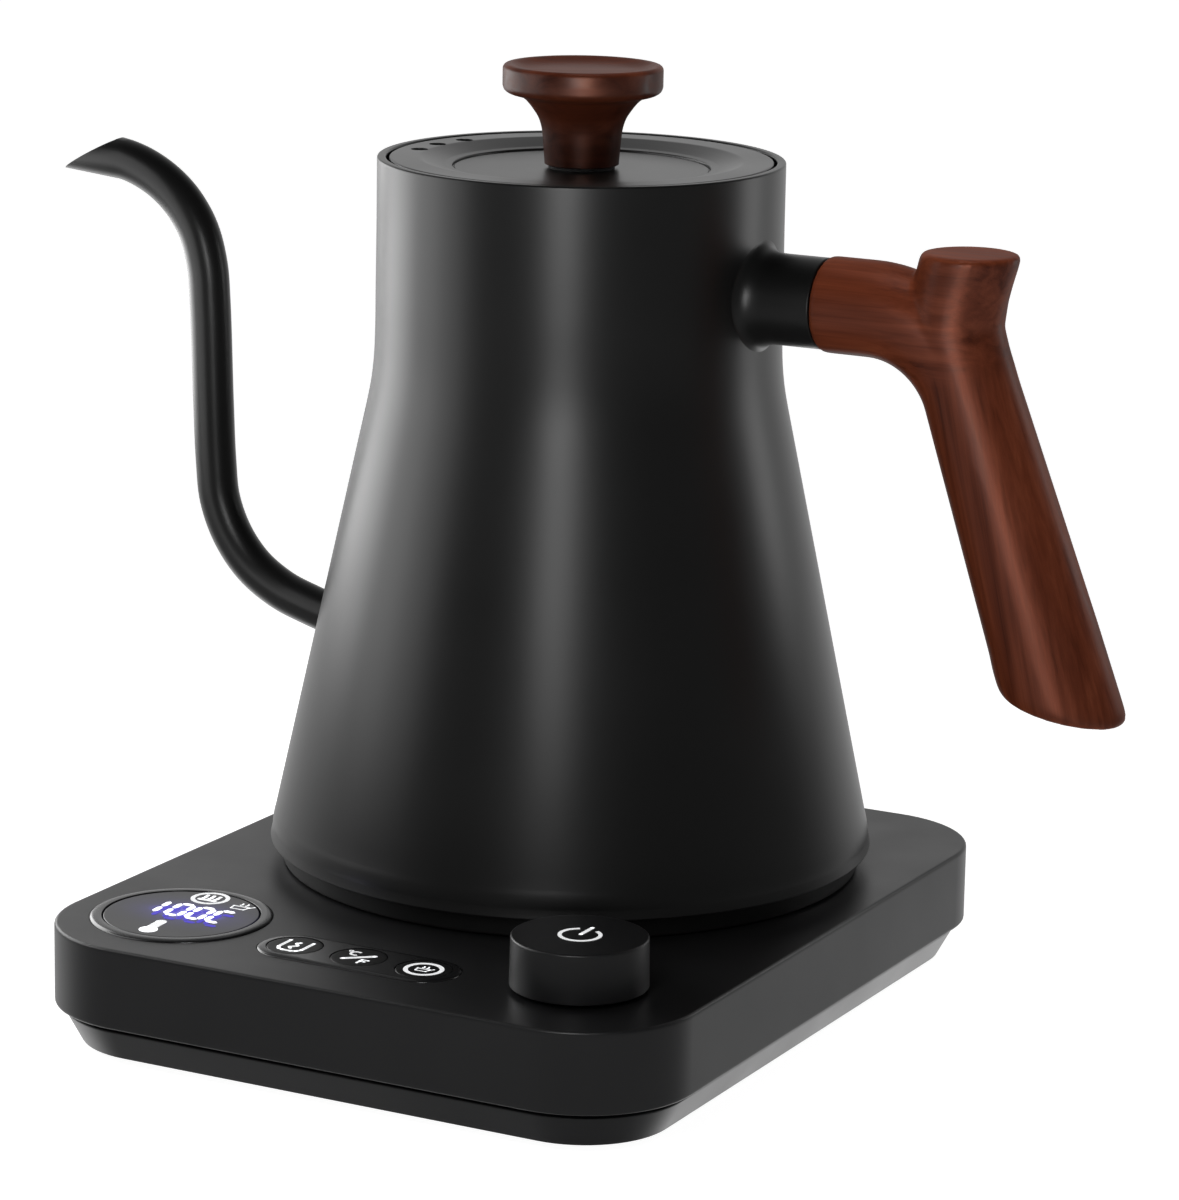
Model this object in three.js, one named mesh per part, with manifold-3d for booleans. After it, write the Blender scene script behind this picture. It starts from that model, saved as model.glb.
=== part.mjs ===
// Electric gooseneck kettle on its power base.
// Millimetres, +Z up. The origin is on the ground, under the middle of the object's box:
// +X points to the handle, -X to the spout, and -Y to the front, where the controls are.

import * as THREE from "three";
import { mergeVertices } from "three/addons/utils/BufferGeometryUtils.js";
import Module from "manifold-3d";

// ---------------------------------------------------------------- driving dimensions

const GAP = 0.3; // clearance between pieces that touch on the real object
const ROUND = 48; // sides of the large turned pieces
const SMALL_ROUND = 16; // sides of small turned pieces
const CORNER_STEPS = 5; // steps in each rounded corner of the base

const KETTLE_X = 1.9; // kettle axis, from the middle of the whole object
const KETTLE_Y = 21.6;
const BASE_WIDTH = 155;
const BASE_DEPTH = 189.6;
const BASE_RADIUS = 26; // plan corners of the base
const BASE_TOP = 28.8;
const COVER_WALL = 2.2;
const COVER_LIP = 10.5; // bottom edge of the cover
const TRAY_BOTTOM = 2;
const TRAY_FLOOR = 4;
const TRAY_TOP = 12.3;

const BODY_BOTTOM = 33.3; // lower edge of the steel body
const BODY_WALL = 1.4;
const CONE_BOTTOM = [68.2, 42.2]; // radius and height where the straight cone starts
const CONE_TOP = [48, 136.4];
const RIM_TOP = 192.5;
const RIM_RADIUS = 46.15;
const MOUTH_RADIUS = 44.1;

const PLATE_BOTTOM = 50; // heater plate that closes the vessel
const PLATE_TOP = 52.5;
const SOCKET_RADIUS = 15;

const LID_RADIUS = 43.4;
const LID_TOP = 192.35;
const LID_FLOOR = 190.2;
const KNOB_FOOT = 191.5;
const KNOB_TOP = 213.6;

const ARM_Z = 165; // axis of the handle's level arm
const ARM_RADIUS = 10.75;
const ARM_START = 62; // where wood begins
const GRIP_LEAN = THREE.MathUtils.degToRad(20); // the grip's foot swings away from the body
const GRIP_TOP_RADIUS = 10.8;
const GRIP_FOOT_RADIUS = 12.8;
const GRIP_FOOT = 80.5; // height of the grip's end
const GRIP_SIDES = 18;

const SPOUT_RADIUS = 4.85;
const SPOUT_BORE = 3.95;

const DISPLAY = new THREE.Vector2(-51.4, -65.6); // from the base's middle
const DISPLAY_RADIUS = 20.4;
const LENS_RADIUS = 17.5;
const PANEL = new THREE.Vector2(-1.4, -72.6);
const PANEL_RADIUS = 8.3;
const BUTTON_PITCH = 16.2;
const BUTTON_RADIUS = 6.2;
const DIAL = new THREE.Vector2(49.3, -66.3);
const DIAL_RADIUS = 14.9;
const DIAL_TOP = 40.8;
const RAISED = 0.5; // how far the display and button panel stand above the cover
const BOARD_BOTTOM = 19;
const BOARD_TOP = 20.6;

const FEET = [[-50, -76], [50, -76], [-50, 76], [50, 76]];
const TRAY_SCREWS = [[-65.5, -36], [65.5, -36], [-60, 79], [60, 79]];
const CORNER_NAMES = ["front_left", "front_right", "back_left", "back_right"];
const BOTTOM_SCREW_RING = 54;
const CORD_BUSH_X = 40;
const CORD_BUSH_Z = 19.5;

// ---------------------------------------------------------------- materials

const material = (color, roughness, metalness = 0) =>
  new THREE.MeshStandardMaterial({ color, roughness, metalness });
const BLACK_METAL = material(0x1d1d1f, 0.42, 0.35);
const BLACK_PLASTIC = material(0x232326, 0.45);
const DARK_PLASTIC = material(0x151516, 0.55);
const WALNUT = material(0x4a2118, 0.38);
const STEEL = material(0xb4b6b8, 0.3, 1);
const BRASS = material(0xc9a24f, 0.3, 1);
const RUBBER = material(0x1a1a1a, 0.85);
const SILICONE = material(0xc9c9c4, 0.7);
const BOARD_GREEN = material(0x1f4a33, 0.5);
const LENS_BLACK = material(0x101014, 0.12);
const RELAY_BLUE = material(0x27508a, 0.45);

// ---------------------------------------------------------------- geometry helpers

const wasm = await Module();
wasm.setup();

/** A closed geometry as a solid that can be cut and joined. */
function solid(geometry) {
  const loose = geometry.index ? geometry.toNonIndexed() : geometry;
  const bare = new THREE.BufferGeometry();
  bare.setAttribute("position", loose.getAttribute("position"));
  const merged = mergeVertices(bare, 1e-4);
  return new wasm.Manifold(
    new wasm.Mesh({
      numProp: 3,
      vertProperties: merged.attributes.position.array,
      triVerts: new Uint32Array(merged.index.array),
    }),
  );
}

/** A solid back as a geometry. */
function geometryOf(made) {
  const { vertProperties, triVerts } = made.getMesh();
  const geometry = new THREE.BufferGeometry();
  geometry.setAttribute("position", new THREE.BufferAttribute(new Float32Array(vertProperties), 3));
  geometry.setIndex(new THREE.BufferAttribute(new Uint32Array(triVerts), 1));
  geometry.computeVertexNormals();
  return geometry;
}

/** One geometry with others cut out of it. */
function cut(geometry, ...tools) {
  return geometryOf(tools.reduce((left, tool) => left.subtract(solid(tool)), solid(geometry)));
}

/** Several overlapping geometries joined into one. */
function join(geometry, ...others) {
  return geometryOf(others.reduce((sum, other) => sum.add(solid(other)), solid(geometry)));
}

/** A profile of [radius, z] points turned about Z. It starts and ends on the axis, or closes. */
function turned(profile, sides = SMALL_ROUND) {
  const points = profile.map(([radius, z]) => new THREE.Vector2(radius, z));
  const onAxis = points[0].x === 0 && points[points.length - 1].x === 0;
  if (!onAxis) points.push(points[0].clone());
  if (THREE.ShapeUtils.area(points) < 0) points.reverse();
  return new THREE.LatheGeometry(points, sides).rotateX(Math.PI / 2);
}

/** A disc or rod along Z between two heights. */
function rod(radius, low, high, sides = SMALL_ROUND) {
  return turned([[0, low], [radius, low], [radius, high], [0, high]], sides);
}

/** A flat ring or tube along Z between two heights. */
function ring(inner, outer, low, high, sides = SMALL_ROUND) {
  return turned([[inner, low], [outer, low], [outer, high], [inner, high]], sides);
}

/** A box given by its plan size and its two heights. */
function block(width, depth, low, high) {
  return new THREE.BoxGeometry(width, depth, high - low).translate(0, 0, (low + high) / 2);
}

/** A closed skin through rings with equally many points, capped flat at both ends. */
function skin(rings) {
  const count = rings[0].length;
  const index = [];
  for (let level = 0; level < rings.length - 1; level += 1) {
    for (let i = 0; i < count; i += 1) {
      const a = level * count + i;
      const b = level * count + ((i + 1) % count);
      index.push(a, b, b + count, a, b + count, a + count);
    }
  }
  const last = (rings.length - 1) * count;
  for (let i = 1; i < count - 1; i += 1) {
    index.push(0, i + 1, i);
    index.push(last, last + i, last + i + 1);
  }
  const geometry = new THREE.BufferGeometry().setFromPoints(rings.flat());
  geometry.setIndex(index);
  return geometry;
}

/** Plan outline of the base, drawn in by an inset, at one height. */
function baseRing(inset, z) {
  const radius = BASE_RADIUS - inset;
  const x = BASE_WIDTH / 2 - inset - radius;
  const y = BASE_DEPTH / 2 - inset - radius;
  const points = [];
  [[x, y], [-x, y], [-x, -y], [x, -y]].forEach(([cx, cy], corner) => {
    for (let i = 0; i <= CORNER_STEPS; i += 1) {
      const angle = ((corner + i / CORNER_STEPS) * Math.PI) / 2;
      points.push(new THREE.Vector3(cx + radius * Math.cos(angle), cy + radius * Math.sin(angle), z));
    }
  });
  return points;
}

/** A stadium outline: a straight middle of the given length with round ends. */
function stadium(length, radius, low, high) {
  const shape = new THREE.Shape();
  shape.absarc(length / 2, 0, radius, -Math.PI / 2, Math.PI / 2, false);
  shape.absarc(-length / 2, 0, radius, Math.PI / 2, (3 * Math.PI) / 2, false);
  const options = { depth: high - low, bevelEnabled: false, curveSegments: 10 };
  return new THREE.ExtrudeGeometry(shape, options).translate(0, 0, low);
}

/** A round section in the handle's plane: centre, radii along the section and along Y, its tilt. */
function gripRing(x, z, reach, radius, tilt) {
  const points = [];
  for (let i = 0; i < GRIP_SIDES; i += 1) {
    const angle = (i / GRIP_SIDES) * Math.PI * 2;
    const along = reach * Math.cos(angle);
    const y = -radius * Math.sin(angle);
    points.push(new THREE.Vector3(x + along * Math.cos(tilt), y, z + along * Math.sin(tilt)));
  }
  return points;
}

/** A geometry moved to a plan position. */
const at = (geometry, x, y) => geometry.translate(x, y, 0);

// ---------------------------------------------------------------- the scene graph

const kettleSet = new THREE.Group();
const base = new THREE.Group();
const kettle = new THREE.Group();
base.position.set(KETTLE_X, 0, 0);
kettle.position.set(KETTLE_X, KETTLE_Y, 0);
kettleSet.add(base, kettle);

/** Add one named piece to a group, at a plan position if one is given. */
function piece(group, name, geometry, finish, x = 0, y = 0) {
  const mesh = new THREE.Mesh(geometry, finish);
  mesh.name = name;
  mesh.position.set(x, y, 0);
  group.add(mesh);
}

// ---------------------------------------------------------------- power base

/** The moulded top of the base: a deep shell with its openings and four screw bosses. */
function baseCover() {
  const outside = skin([
    baseRing(0.3, COVER_LIP),
    baseRing(0, COVER_LIP + 0.4),
    baseRing(0, BASE_TOP - 0.8),
    baseRing(0.25, BASE_TOP - 0.25),
    baseRing(0.8, BASE_TOP),
  ]);
  const ceiling = BASE_TOP - COVER_WALL;
  const hollow = skin([baseRing(COVER_WALL, COVER_LIP - 1), baseRing(COVER_WALL, ceiling)]);
  const boss = (x, y) => at(rod(4.2, TRAY_FLOOR + GAP, ceiling + 1, 10), x, y);
  const pilot = (x, y) => at(rod(1.8, 0, 18, 8), x, y);
  const cordHole = rod(5.3, 80, 100).rotateX(-Math.PI / 2).translate(CORD_BUSH_X, 0, CORD_BUSH_Z);
  const shell = join(cut(outside, hollow), ...TRAY_SCREWS.map(([x, y]) => boss(x, y)));
  return cut(
    shell,
    ...TRAY_SCREWS.map(([x, y]) => pilot(x, y)),
    at(rod(DISPLAY_RADIUS + GAP, 20, 40, 36), DISPLAY.x, DISPLAY.y),
    at(stadium(2 * BUTTON_PITCH, PANEL_RADIUS + GAP, 20, 40), PANEL.x, PANEL.y),
    at(rod(4, 20, 40, 12), DIAL.x, DIAL.y),
    at(rod(10.8, 20, 40, 24), 0, KETTLE_Y),
    cordHole,
  );
}

/** The pan that closes the base, with posts under both boards. */
function baseTray() {
  const outside = skin([
    baseRing(5.9, TRAY_BOTTOM),
    baseRing(4.6, TRAY_BOTTOM + 0.6),
    baseRing(3.6, 4.4),
    baseRing(2.2, COVER_LIP - GAP),
    baseRing(2.6, COVER_LIP - GAP),
    baseRing(2.6, TRAY_TOP),
  ]);
  const hollow = skin([
    baseRing(6.2, TRAY_FLOOR),
    baseRing(4.4, COVER_LIP),
    baseRing(4.4, TRAY_TOP + 1),
  ]);
  const boardPosts = [[-60, -82], [60, -82], [-60, -50], [60, -50]];
  const powerPosts = [[-44, 50], [44, 50], [-44, 82], [44, 82]];
  const post = (x, y, top) => at(rod(2.4, TRAY_FLOOR - 1, top, 8), x, y);
  const pan = join(
    cut(outside, hollow),
    ...boardPosts.map(([x, y]) => post(x, y, BOARD_BOTTOM - GAP)),
    ...powerPosts.map(([x, y]) => post(x, y, 7.7)),
  );
  return cut(
    pan,
    ...FEET.map(([x, y]) => at(rod(2.9, 0, 6, 10), x, y)),
    ...TRAY_SCREWS.map(([x, y]) => at(turned([[0, 1], [3.4, 1], [3.4, 3.2], [1.8, 3.2], [1.8, 6], [0, 6]], 10), x, y)),
  );
}

/** A stick-through rubber foot. */
function foot() {
  return turned([[0, 0], [7, 0], [7, 1.7], [2.6, 1.7], [2.6, 5], [0, 5]]);
}

/** A pan-head screw pointing up: head radius and height, shank radius and tip height. */
function screw(headRadius, low, headTop, shankRadius, tip) {
  return turned([
    [0, low], [headRadius, low], [headRadius, headTop], [shankRadius, headTop],
    [shankRadius, tip - 1], [0, tip],
  ], 10);
}

/** The ring that holds the lens, clipped in from under the cover. */
function displayBezel() {
  const top = BASE_TOP + RAISED;
  return turned([
    [16, 25], [22.4, 25], [22.4, 26.3], [DISPLAY_RADIUS, 26.3], [DISPLAY_RADIUS, top - 0.3],
    [DISPLAY_RADIUS - 1.4, top], [LENS_RADIUS + GAP, top], [LENS_RADIUS + GAP, 27], [16, 27],
  ], 36);
}

/** The raised pill around the three buttons. */
function buttonPanel() {
  const top = stadium(2 * BUTTON_PITCH, PANEL_RADIUS, 25.5, BASE_TOP + RAISED - 0.05);
  const flange = stadium(2 * BUTTON_PITCH, PANEL_RADIUS + 1.7, 25, 26.3);
  const holes = [-1, 0, 1].map((step) =>
    at(rod(BUTTON_RADIUS + GAP, 20, 40, 20), step * BUTTON_PITCH, 0));
  return cut(join(top, flange), ...holes);
}

/** A button cap with the flange that keeps it in and the stem that presses its switch. */
function buttonCap() {
  const top = BASE_TOP + RAISED;
  return turned([
    [0, 22.9], [1.8, 22.9], [1.8, 23.6], [7, 23.6], [7, 24.6], [BUTTON_RADIUS, 24.6],
    [BUTTON_RADIUS, top - 0.2], [BUTTON_RADIUS - 0.25, top], [0, top],
  ], 20);
}

/** The control dial: a turned cup with a hub on the encoder shaft. */
function controlDial() {
  return turned([
    [0, DIAL_TOP], [DIAL_RADIUS - 0.5, DIAL_TOP], [DIAL_RADIUS - 0.1, DIAL_TOP - 0.5],
    [DIAL_RADIUS + 0.1, BASE_TOP + 1], [13.6, BASE_TOP + 1], [13.6, 38.4],
    [5, 38.4], [5, 31], [3.35, 31], [3.35, 37.6], [0, 37.6],
  ], 32);
}

/** The rotary encoder's housing, open at the top for the shaft. */
function encoderHousing() {
  return cut(block(13, 13, BOARD_TOP + GAP, 25.9), rod(3.4, 21.7, 30, 16));
}

/** The cordless connector's cup and the flange that holds it under the cover. */
function connectorTower() {
  return turned([
    [0, 24], [16, 24], [16, 26.3], [10.5, 26.3], [10.5, 40], [10, 40.6], [9.2, 40.6],
    [9.2, 29], [0, 29],
  ], 24);
}

/** The bush in the back wall where the mains lead would come out. */
function cordBush() {
  const back = BASE_DEPTH / 2;
  const profile = [
    [3.5, back - 5.2], [6.8, back - 5.2], [6.8, back - 2.6], [5, back - 2.6], [5, back], [3.5, back],
  ];
  return turned(profile).rotateX(-Math.PI / 2);
}

function buildBase() {
  piece(base, "base_cover", baseCover(), BLACK_PLASTIC);
  piece(base, "base_tray", baseTray(), DARK_PLASTIC);
  CORNER_NAMES.forEach((corner, i) => {
    piece(base, `foot_${corner}`, foot(), RUBBER, ...FEET[i]);
    piece(base, `tray_screw_${corner}`, screw(3.1, 2.2, 2.9, 1.5, 16), STEEL, ...TRAY_SCREWS[i]);
  });
  piece(base, "display_bezel", displayBezel(), BLACK_PLASTIC, DISPLAY.x, DISPLAY.y);
  const lens = rod(LENS_RADIUS, 27.3, BASE_TOP + RAISED - 0.05, 36);
  piece(base, "display_lens", lens, LENS_BLACK, DISPLAY.x, DISPLAY.y);
  const module = block(26, 14, BOARD_TOP + GAP, 24.6);
  piece(base, "display_module", module, LENS_BLACK, DISPLAY.x, DISPLAY.y);
  piece(base, "button_panel", buttonPanel(), BLACK_PLASTIC, PANEL.x, PANEL.y);
  ["left", "middle", "right"].forEach((side, i) => {
    const x = PANEL.x + (i - 1) * BUTTON_PITCH;
    piece(base, `button_${side}`, buttonCap(), BLACK_PLASTIC, x, PANEL.y);
    piece(base, `switch_${side}`, block(6, 6, BOARD_TOP + GAP, 22.2), STEEL, x, PANEL.y);
  });
  piece(base, "control_board", at(block(132, 41, BOARD_BOTTOM, BOARD_TOP), 0, -66.5), BOARD_GREEN);
  piece(base, "buzzer", rod(6, BOARD_TOP + GAP, 25.6, 16), DARK_PLASTIC, 18, -54);
  piece(base, "encoder_housing", encoderHousing(), STEEL, DIAL.x, DIAL.y);
  piece(base, "encoder_plunger", rod(3, 22.8, 24, 16), STEEL, DIAL.x, DIAL.y);
  piece(base, "dial_shaft", rod(3, 24.3, 37.2, 16), STEEL, DIAL.x, DIAL.y);
  piece(base, "control_dial", controlDial(), BLACK_PLASTIC, DIAL.x, DIAL.y);
  piece(base, "power_board", at(block(96, 38, 8, 9.6), 0, 66), BOARD_GREEN);
  piece(base, "relay", block(19, 15.5, 9.9, 25), RELAY_BLUE, -26, 64);
  piece(base, "capacitor", rod(6, 9.9, 24, 16), DARK_PLASTIC, 8, 64);
  piece(base, "connector_tower", connectorTower(), DARK_PLASTIC, 0, KETTLE_Y);
  piece(base, "connector_outer_ring", ring(7.2, 8.2, 29.3, 40), BRASS, 0, KETTLE_Y);
  piece(base, "connector_inner_ring", ring(4.2, 5.2, 29.3, 40), BRASS, 0, KETTLE_Y);
  piece(base, "connector_pin", rod(1.8, 29.3, 39.6, 12), BRASS, 0, KETTLE_Y);
  piece(base, "connector_shutter", ring(2.2, 3.6, 29.6, 33), DARK_PLASTIC, 0, KETTLE_Y);
  piece(base, "cord_bush", cordBush().translate(CORD_BUSH_X, 0, CORD_BUSH_Z), RUBBER);
}

// ---------------------------------------------------------------- vessel

/** Outer profile of the vessel from its lower edge to the rim, grown by an offset. */
function bodyProfile(offset) {
  return [
    [67.6, BODY_BOTTOM],
    [69.3, 35],
    [69.65, 37.3],
    [69.1, 39.9],
    CONE_BOTTOM,
    CONE_TOP,
    [47.15, 141],
    [46.55, 146.5],
    [46.35, 153],
    [RIM_RADIUS, RIM_TOP - 0.5],
  ].map(([radius, z]) => [radius + offset, z]);
}

/** The vessel as a filled form, grown by an offset: what its neighbours are cut back by. */
function filledBody(offset) {
  const profile = bodyProfile(offset);
  const [low, high] = [profile[0], profile[profile.length - 1]];
  return turned([[0, low[1]], ...profile, [0, high[1]]], ROUND);
}

/** The steel body: one open shell with a thickened rim and the hole into the spout. */
function kettleBody(spoutBore) {
  const inner = bodyProfile(-BODY_WALL).reverse().slice(1);
  const shell = turned([
    ...bodyProfile(0), [RIM_RADIUS - 0.5, RIM_TOP], [MOUTH_RADIUS + 0.4, RIM_TOP],
    [MOUTH_RADIUS, RIM_TOP - 0.5], [MOUTH_RADIUS, 188], [44.8, 186.5], ...inner,
  ], ROUND);
  return cut(shell, spoutBore);
}

/** The centreline of the spout in the plane of the handle: X from the kettle's axis, and Z. */
function spoutPath() {
  const points = [
    [-50, 74.6], [-60.5, 77.2], [-71, 79.9], [-79, 82.6], [-86.9, 87.5], [-92.7, 94.4],
    [-96.3, 102.8], [-97.4, 112], [-98.1, 126], [-99, 150], [-99.8, 159], [-102.2, 167],
    [-106.3, 173.1], [-111.1, 177.3], [-116.8, 180.4], [-122.5, 182.2], [-131, 183.2],
    [-143, 184],
  ];
  return new THREE.CatmullRomCurve3(points.map(([x, z]) => new THREE.Vector3(x, 0, z)));
}

/** A round rod swept along the spout's centreline. */
function spoutRod(radius, sides) {
  const section = new THREE.Shape();
  for (let i = 0; i < sides; i += 1) {
    const angle = (i / sides) * Math.PI * 2;
    const [x, y] = [radius * Math.cos(angle), radius * Math.sin(angle)];
    if (i === 0) section.moveTo(x, y);
    else section.lineTo(x, y);
  }
  section.closePath();
  return new THREE.ExtrudeGeometry(section, { steps: 30, bevelEnabled: false, extrudePath: spoutPath() });
}

/** The gooseneck: a bent tube with a slant-cut mouth. */
function spout() {
  const slant = new THREE.BoxGeometry(60, 40, 40);
  slant.translate(0, 0, 20).rotateY(-Math.atan2(7.6, 14.1)).translate(-131.1, 0, 183.4);
  return cut(spoutRod(SPOUT_RADIUS, 12), spoutRod(SPOUT_BORE, 8), slant, filledBody(GAP));
}

/** The black ferrule between the vessel and the wood, flared where it meets the vessel. */
function handleCollar() {
  const profile = [
    [0, 40], [13, 40], [11.6, 47.5], [10.5, 51], [10.2, 56], [10.2, ARM_START - GAP], [0, ARM_START - GAP],
  ];
  const sleeve = turned(profile, GRIP_SIDES).rotateY(Math.PI / 2).translate(0, 0, ARM_Z);
  const bore = rod(3.4, 30, 70, 12).rotateY(Math.PI / 2).translate(0, 0, ARM_Z);
  return cut(sleeve, filledBody(GAP), bore);
}

/** Where the leaning grip's axis is at a height. */
function gripAxis(z) {
  return 98.3 + (145.9 - z) * Math.tan(GRIP_LEAN);
}

/** The grip's radius at a height: it swells slightly towards its foot. */
function gripRadius(z) {
  return THREE.MathUtils.mapLinear(z, 148, 82, GRIP_TOP_RADIUS, GRIP_FOOT_RADIUS);
}

/** The level arm and the wide bend that carries it down into the grip. */
function handleArm() {
  const bend = 26;
  const turn = Math.PI / 2 - GRIP_LEAN;
  const cornerX = gripAxis(ARM_Z);
  const start = cornerX - bend * Math.tan(turn / 2);
  const steps = 8;
  const rings = [gripRing(ARM_START, ARM_Z, ARM_RADIUS, ARM_RADIUS, Math.PI / 2)];
  for (let i = 0; i <= steps; i += 1) {
    const angle = (i / steps) * turn;
    const x = start + bend * Math.sin(angle);
    const z = ARM_Z - bend * (1 - Math.cos(angle));
    rings.push(gripRing(x, z, ARM_RADIUS, ARM_RADIUS, Math.PI / 2 - angle));
  }
  const end = 130;
  rings.push(gripRing(gripAxis(end), end, ARM_RADIUS, ARM_RADIUS, GRIP_LEAN));
  return skin(rings);
}

/** The short stub above the arm and the long leaning grip below it, as one turned-wood limb. */
function handleLimb() {
  const kinkX = gripAxis(162);
  const footTilt = THREE.MathUtils.degToRad(-10);
  const stretch = 1 / Math.cos(GRIP_LEAN - footTilt);
  const footRing = (lift, scale) => {
    const z = GRIP_FOOT + lift * Math.cos(footTilt);
    const x = gripAxis(z);
    const radius = gripRadius(z) * scale;
    return gripRing(x, z, radius * stretch, radius, footTilt);
  };
  return skin([
    gripRing(96, 179.4, 10, 10, 0),
    gripRing(95.9, 178.7, 10.9, 10.9, 0),
    gripRing(95.4, 176.5, 11, 10.8, 0),
    gripRing(93.6, 169, 10.8, 10.6, 0),
    gripRing(kinkX + 0.4, 162.5, 10.9, 10.6, GRIP_LEAN * 0.25),
    gripRing(gripAxis(156), 156, GRIP_TOP_RADIUS, GRIP_TOP_RADIUS, GRIP_LEAN * 0.85),
    gripRing(gripAxis(148), 148, GRIP_TOP_RADIUS, GRIP_TOP_RADIUS, GRIP_LEAN),
    gripRing(gripAxis(115), 115, gripRadius(115), gripRadius(115), GRIP_LEAN),
    gripRing(gripAxis(93), 93, gripRadius(93), gripRadius(93), GRIP_LEAN),
    footRing(3, 1),
    footRing(0.9, 0.95),
    footRing(0, 0.82),
  ]);
}

/** The whole wooden handle, bored from its arm for the stud. */
function woodHandle() {
  const bore = rod(5.2, 50, 84.5, 12).rotateY(Math.PI / 2).translate(0, 0, ARM_Z);
  return cut(join(handleArm(), handleLimb()), bore);
}

/** The plate that closes the vessel, with three screw posts and a hole for the sensor. */
function heaterPlate() {
  const plate = rod(64.4, PLATE_BOTTOM, PLATE_TOP, ROUND);
  const posts = screwRing((x, y) => at(rod(3.6, 37, PLATE_BOTTOM + 1, 12), x, y));
  const pilots = screwRing((x, y) => at(rod(1.7, 30, 45, 8), x, y));
  return cut(join(plate, ...posts), ...pilots, at(rod(5, 40, 60, 16), -20, 12));
}

/** What a function makes at each of the three bottom screws. */
function screwRing(make) {
  return [90, 210, 330].map((degrees) => {
    const angle = THREE.MathUtils.degToRad(degrees);
    return make(BOTTOM_SCREW_RING * Math.cos(angle), BOTTOM_SCREW_RING * Math.sin(angle));
  });
}

/** The moulded underside, whose rim is the dark foot that stands on the base. */
function bottomCover() {
  const shell = turned([
    [15.4, 31.2], [63.5, 31.2], [65.2, 29.1], [67.4, 29.1], [67.4, 33], [65.9, 33],
    [65.9, 37], [64.2, 37], [64.2, 33.4], [15.4, 33.4],
  ], ROUND);
  const holes = screwRing((x, y) => at(rod(1.8, 20, 40, 8), x, y));
  return cut(shell, ...holes);
}

/** The sheathed element under the plate: most of a circle, with both ends turned down. */
function heatingElement() {
  const radius = 40;
  const points = [new THREE.Vector3(radius * Math.cos(0.3), radius * Math.sin(0.3), 38)];
  for (let i = 0; i <= 20; i += 1) {
    const angle = 0.3 + (i / 20) * (Math.PI * 2 - 0.6);
    points.push(new THREE.Vector3(radius * Math.cos(angle), radius * Math.sin(angle), 46));
  }
  points.push(new THREE.Vector3(radius * Math.cos(-0.3), radius * Math.sin(-0.3), 38));
  const section = new THREE.Shape().absarc(0, 0, 3.3, 0, Math.PI * 2, false);
  const path = new THREE.CatmullRomCurve3(points);
  return new THREE.ExtrudeGeometry(section, { steps: 26, curveSegments: 4, bevelEnabled: false, extrudePath: path });
}

/** The female half of the connector, open below. */
function socketHousing() {
  return turned([
    [0, 48], [SOCKET_RADIUS, 48], [SOCKET_RADIUS, 31.2], [11.2, 31.2], [11.2, 45], [0, 45],
  ], 24);
}

function buildKettle() {
  piece(kettle, "kettle_body", kettleBody(spoutRod(SPOUT_BORE, 8)), BLACK_METAL);
  piece(kettle, "spout", spout(), BLACK_METAL);
  piece(kettle, "handle_collar", handleCollar(), BLACK_METAL);
  piece(kettle, "wood_handle", woodHandle(), WALNUT);
  const alongArm = (geometry) => geometry.rotateY(Math.PI / 2).translate(0, 0, ARM_Z);
  piece(kettle, "handle_stud", alongArm(rod(3, 48, 83.5, 12)), STEEL);
  piece(kettle, "handle_insert", alongArm(ring(3.3, 4.9, 63, 82, 12)), BRASS);
  piece(kettle, "heater_plate", heaterPlate(), STEEL);
  piece(kettle, "heating_element", heatingElement(), STEEL);
  piece(kettle, "thermal_cutout", rod(8, 43, PLATE_BOTTOM - GAP), DARK_PLASTIC, 22, -8);
  piece(kettle, "temperature_probe", turned([[0, 44], [2.5, 44], [2.5, 60], [1.5, 61.5], [0, 61.5]], 14), STEEL, -20, 12);
  piece(kettle, "probe_seal", ring(2.8, 4.7, 48, 55, 16), SILICONE, -20, 12);
  piece(kettle, "bottom_cover", bottomCover(), DARK_PLASTIC);
  piece(kettle, "socket_housing", socketHousing(), DARK_PLASTIC);
  piece(kettle, "socket_outer_contact", ring(5.7, 6.7, 31.5, 44.7), BRASS);
  piece(kettle, "socket_pin_contact", ring(2.3, 3.5, 33.5, 44.7), BRASS);
  const bottomScrews = screwRing((x, y) => [x, y]);
  bottomScrews.forEach(([x, y], i) => {
    piece(kettle, `bottom_screw_${i + 1}`, screw(3, 29.6, 30.9, 1.4, 43), STEEL, x, y);
  });
}

// ---------------------------------------------------------------- lid

/** The dished steel top of the lid with three steam holes near its edge. */
function lidPlate() {
  const disc = turned([
    [0, LID_FLOOR], [28.8, LID_FLOOR], [29, LID_FLOOR + 0.5], [31.6, 190.95], [34, 191.6],
    [36.2, LID_TOP], [LID_RADIUS - 0.3, LID_TOP], [LID_RADIUS, LID_TOP - 0.3],
    [LID_RADIUS, 189.2], [0, 189.2],
  ], ROUND);
  const holes = [163, 177.5, 192].map((degrees) => {
    const angle = THREE.MathUtils.degToRad(degrees);
    return at(rod(1.6, 180, 200, 12), 38.4 * Math.cos(angle), 38.4 * Math.sin(angle));
  });
  return cut(disc, rod(2.3, 180, 200, 12), ...holes);
}

/** The turned wooden knob: a dished disc on a waisted neck. */
function lidKnob() {
  return turned([
    [2.3, KNOB_FOOT], [8.3, KNOB_FOOT], [8.5, 195], [9.1, 199.5], [9.9, 202.2], [11.4, 204.4],
    [13.2, 206.1], [15.4, 206.9], [17.5, 207.7], [18.1, 208.6], [18.1, 212.7], [17.3, KNOB_TOP],
    [16.4, KNOB_TOP], [12, 212.7], [0, 212.1], [0, 205], [2.3, 205],
  ], 32);
}

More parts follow.
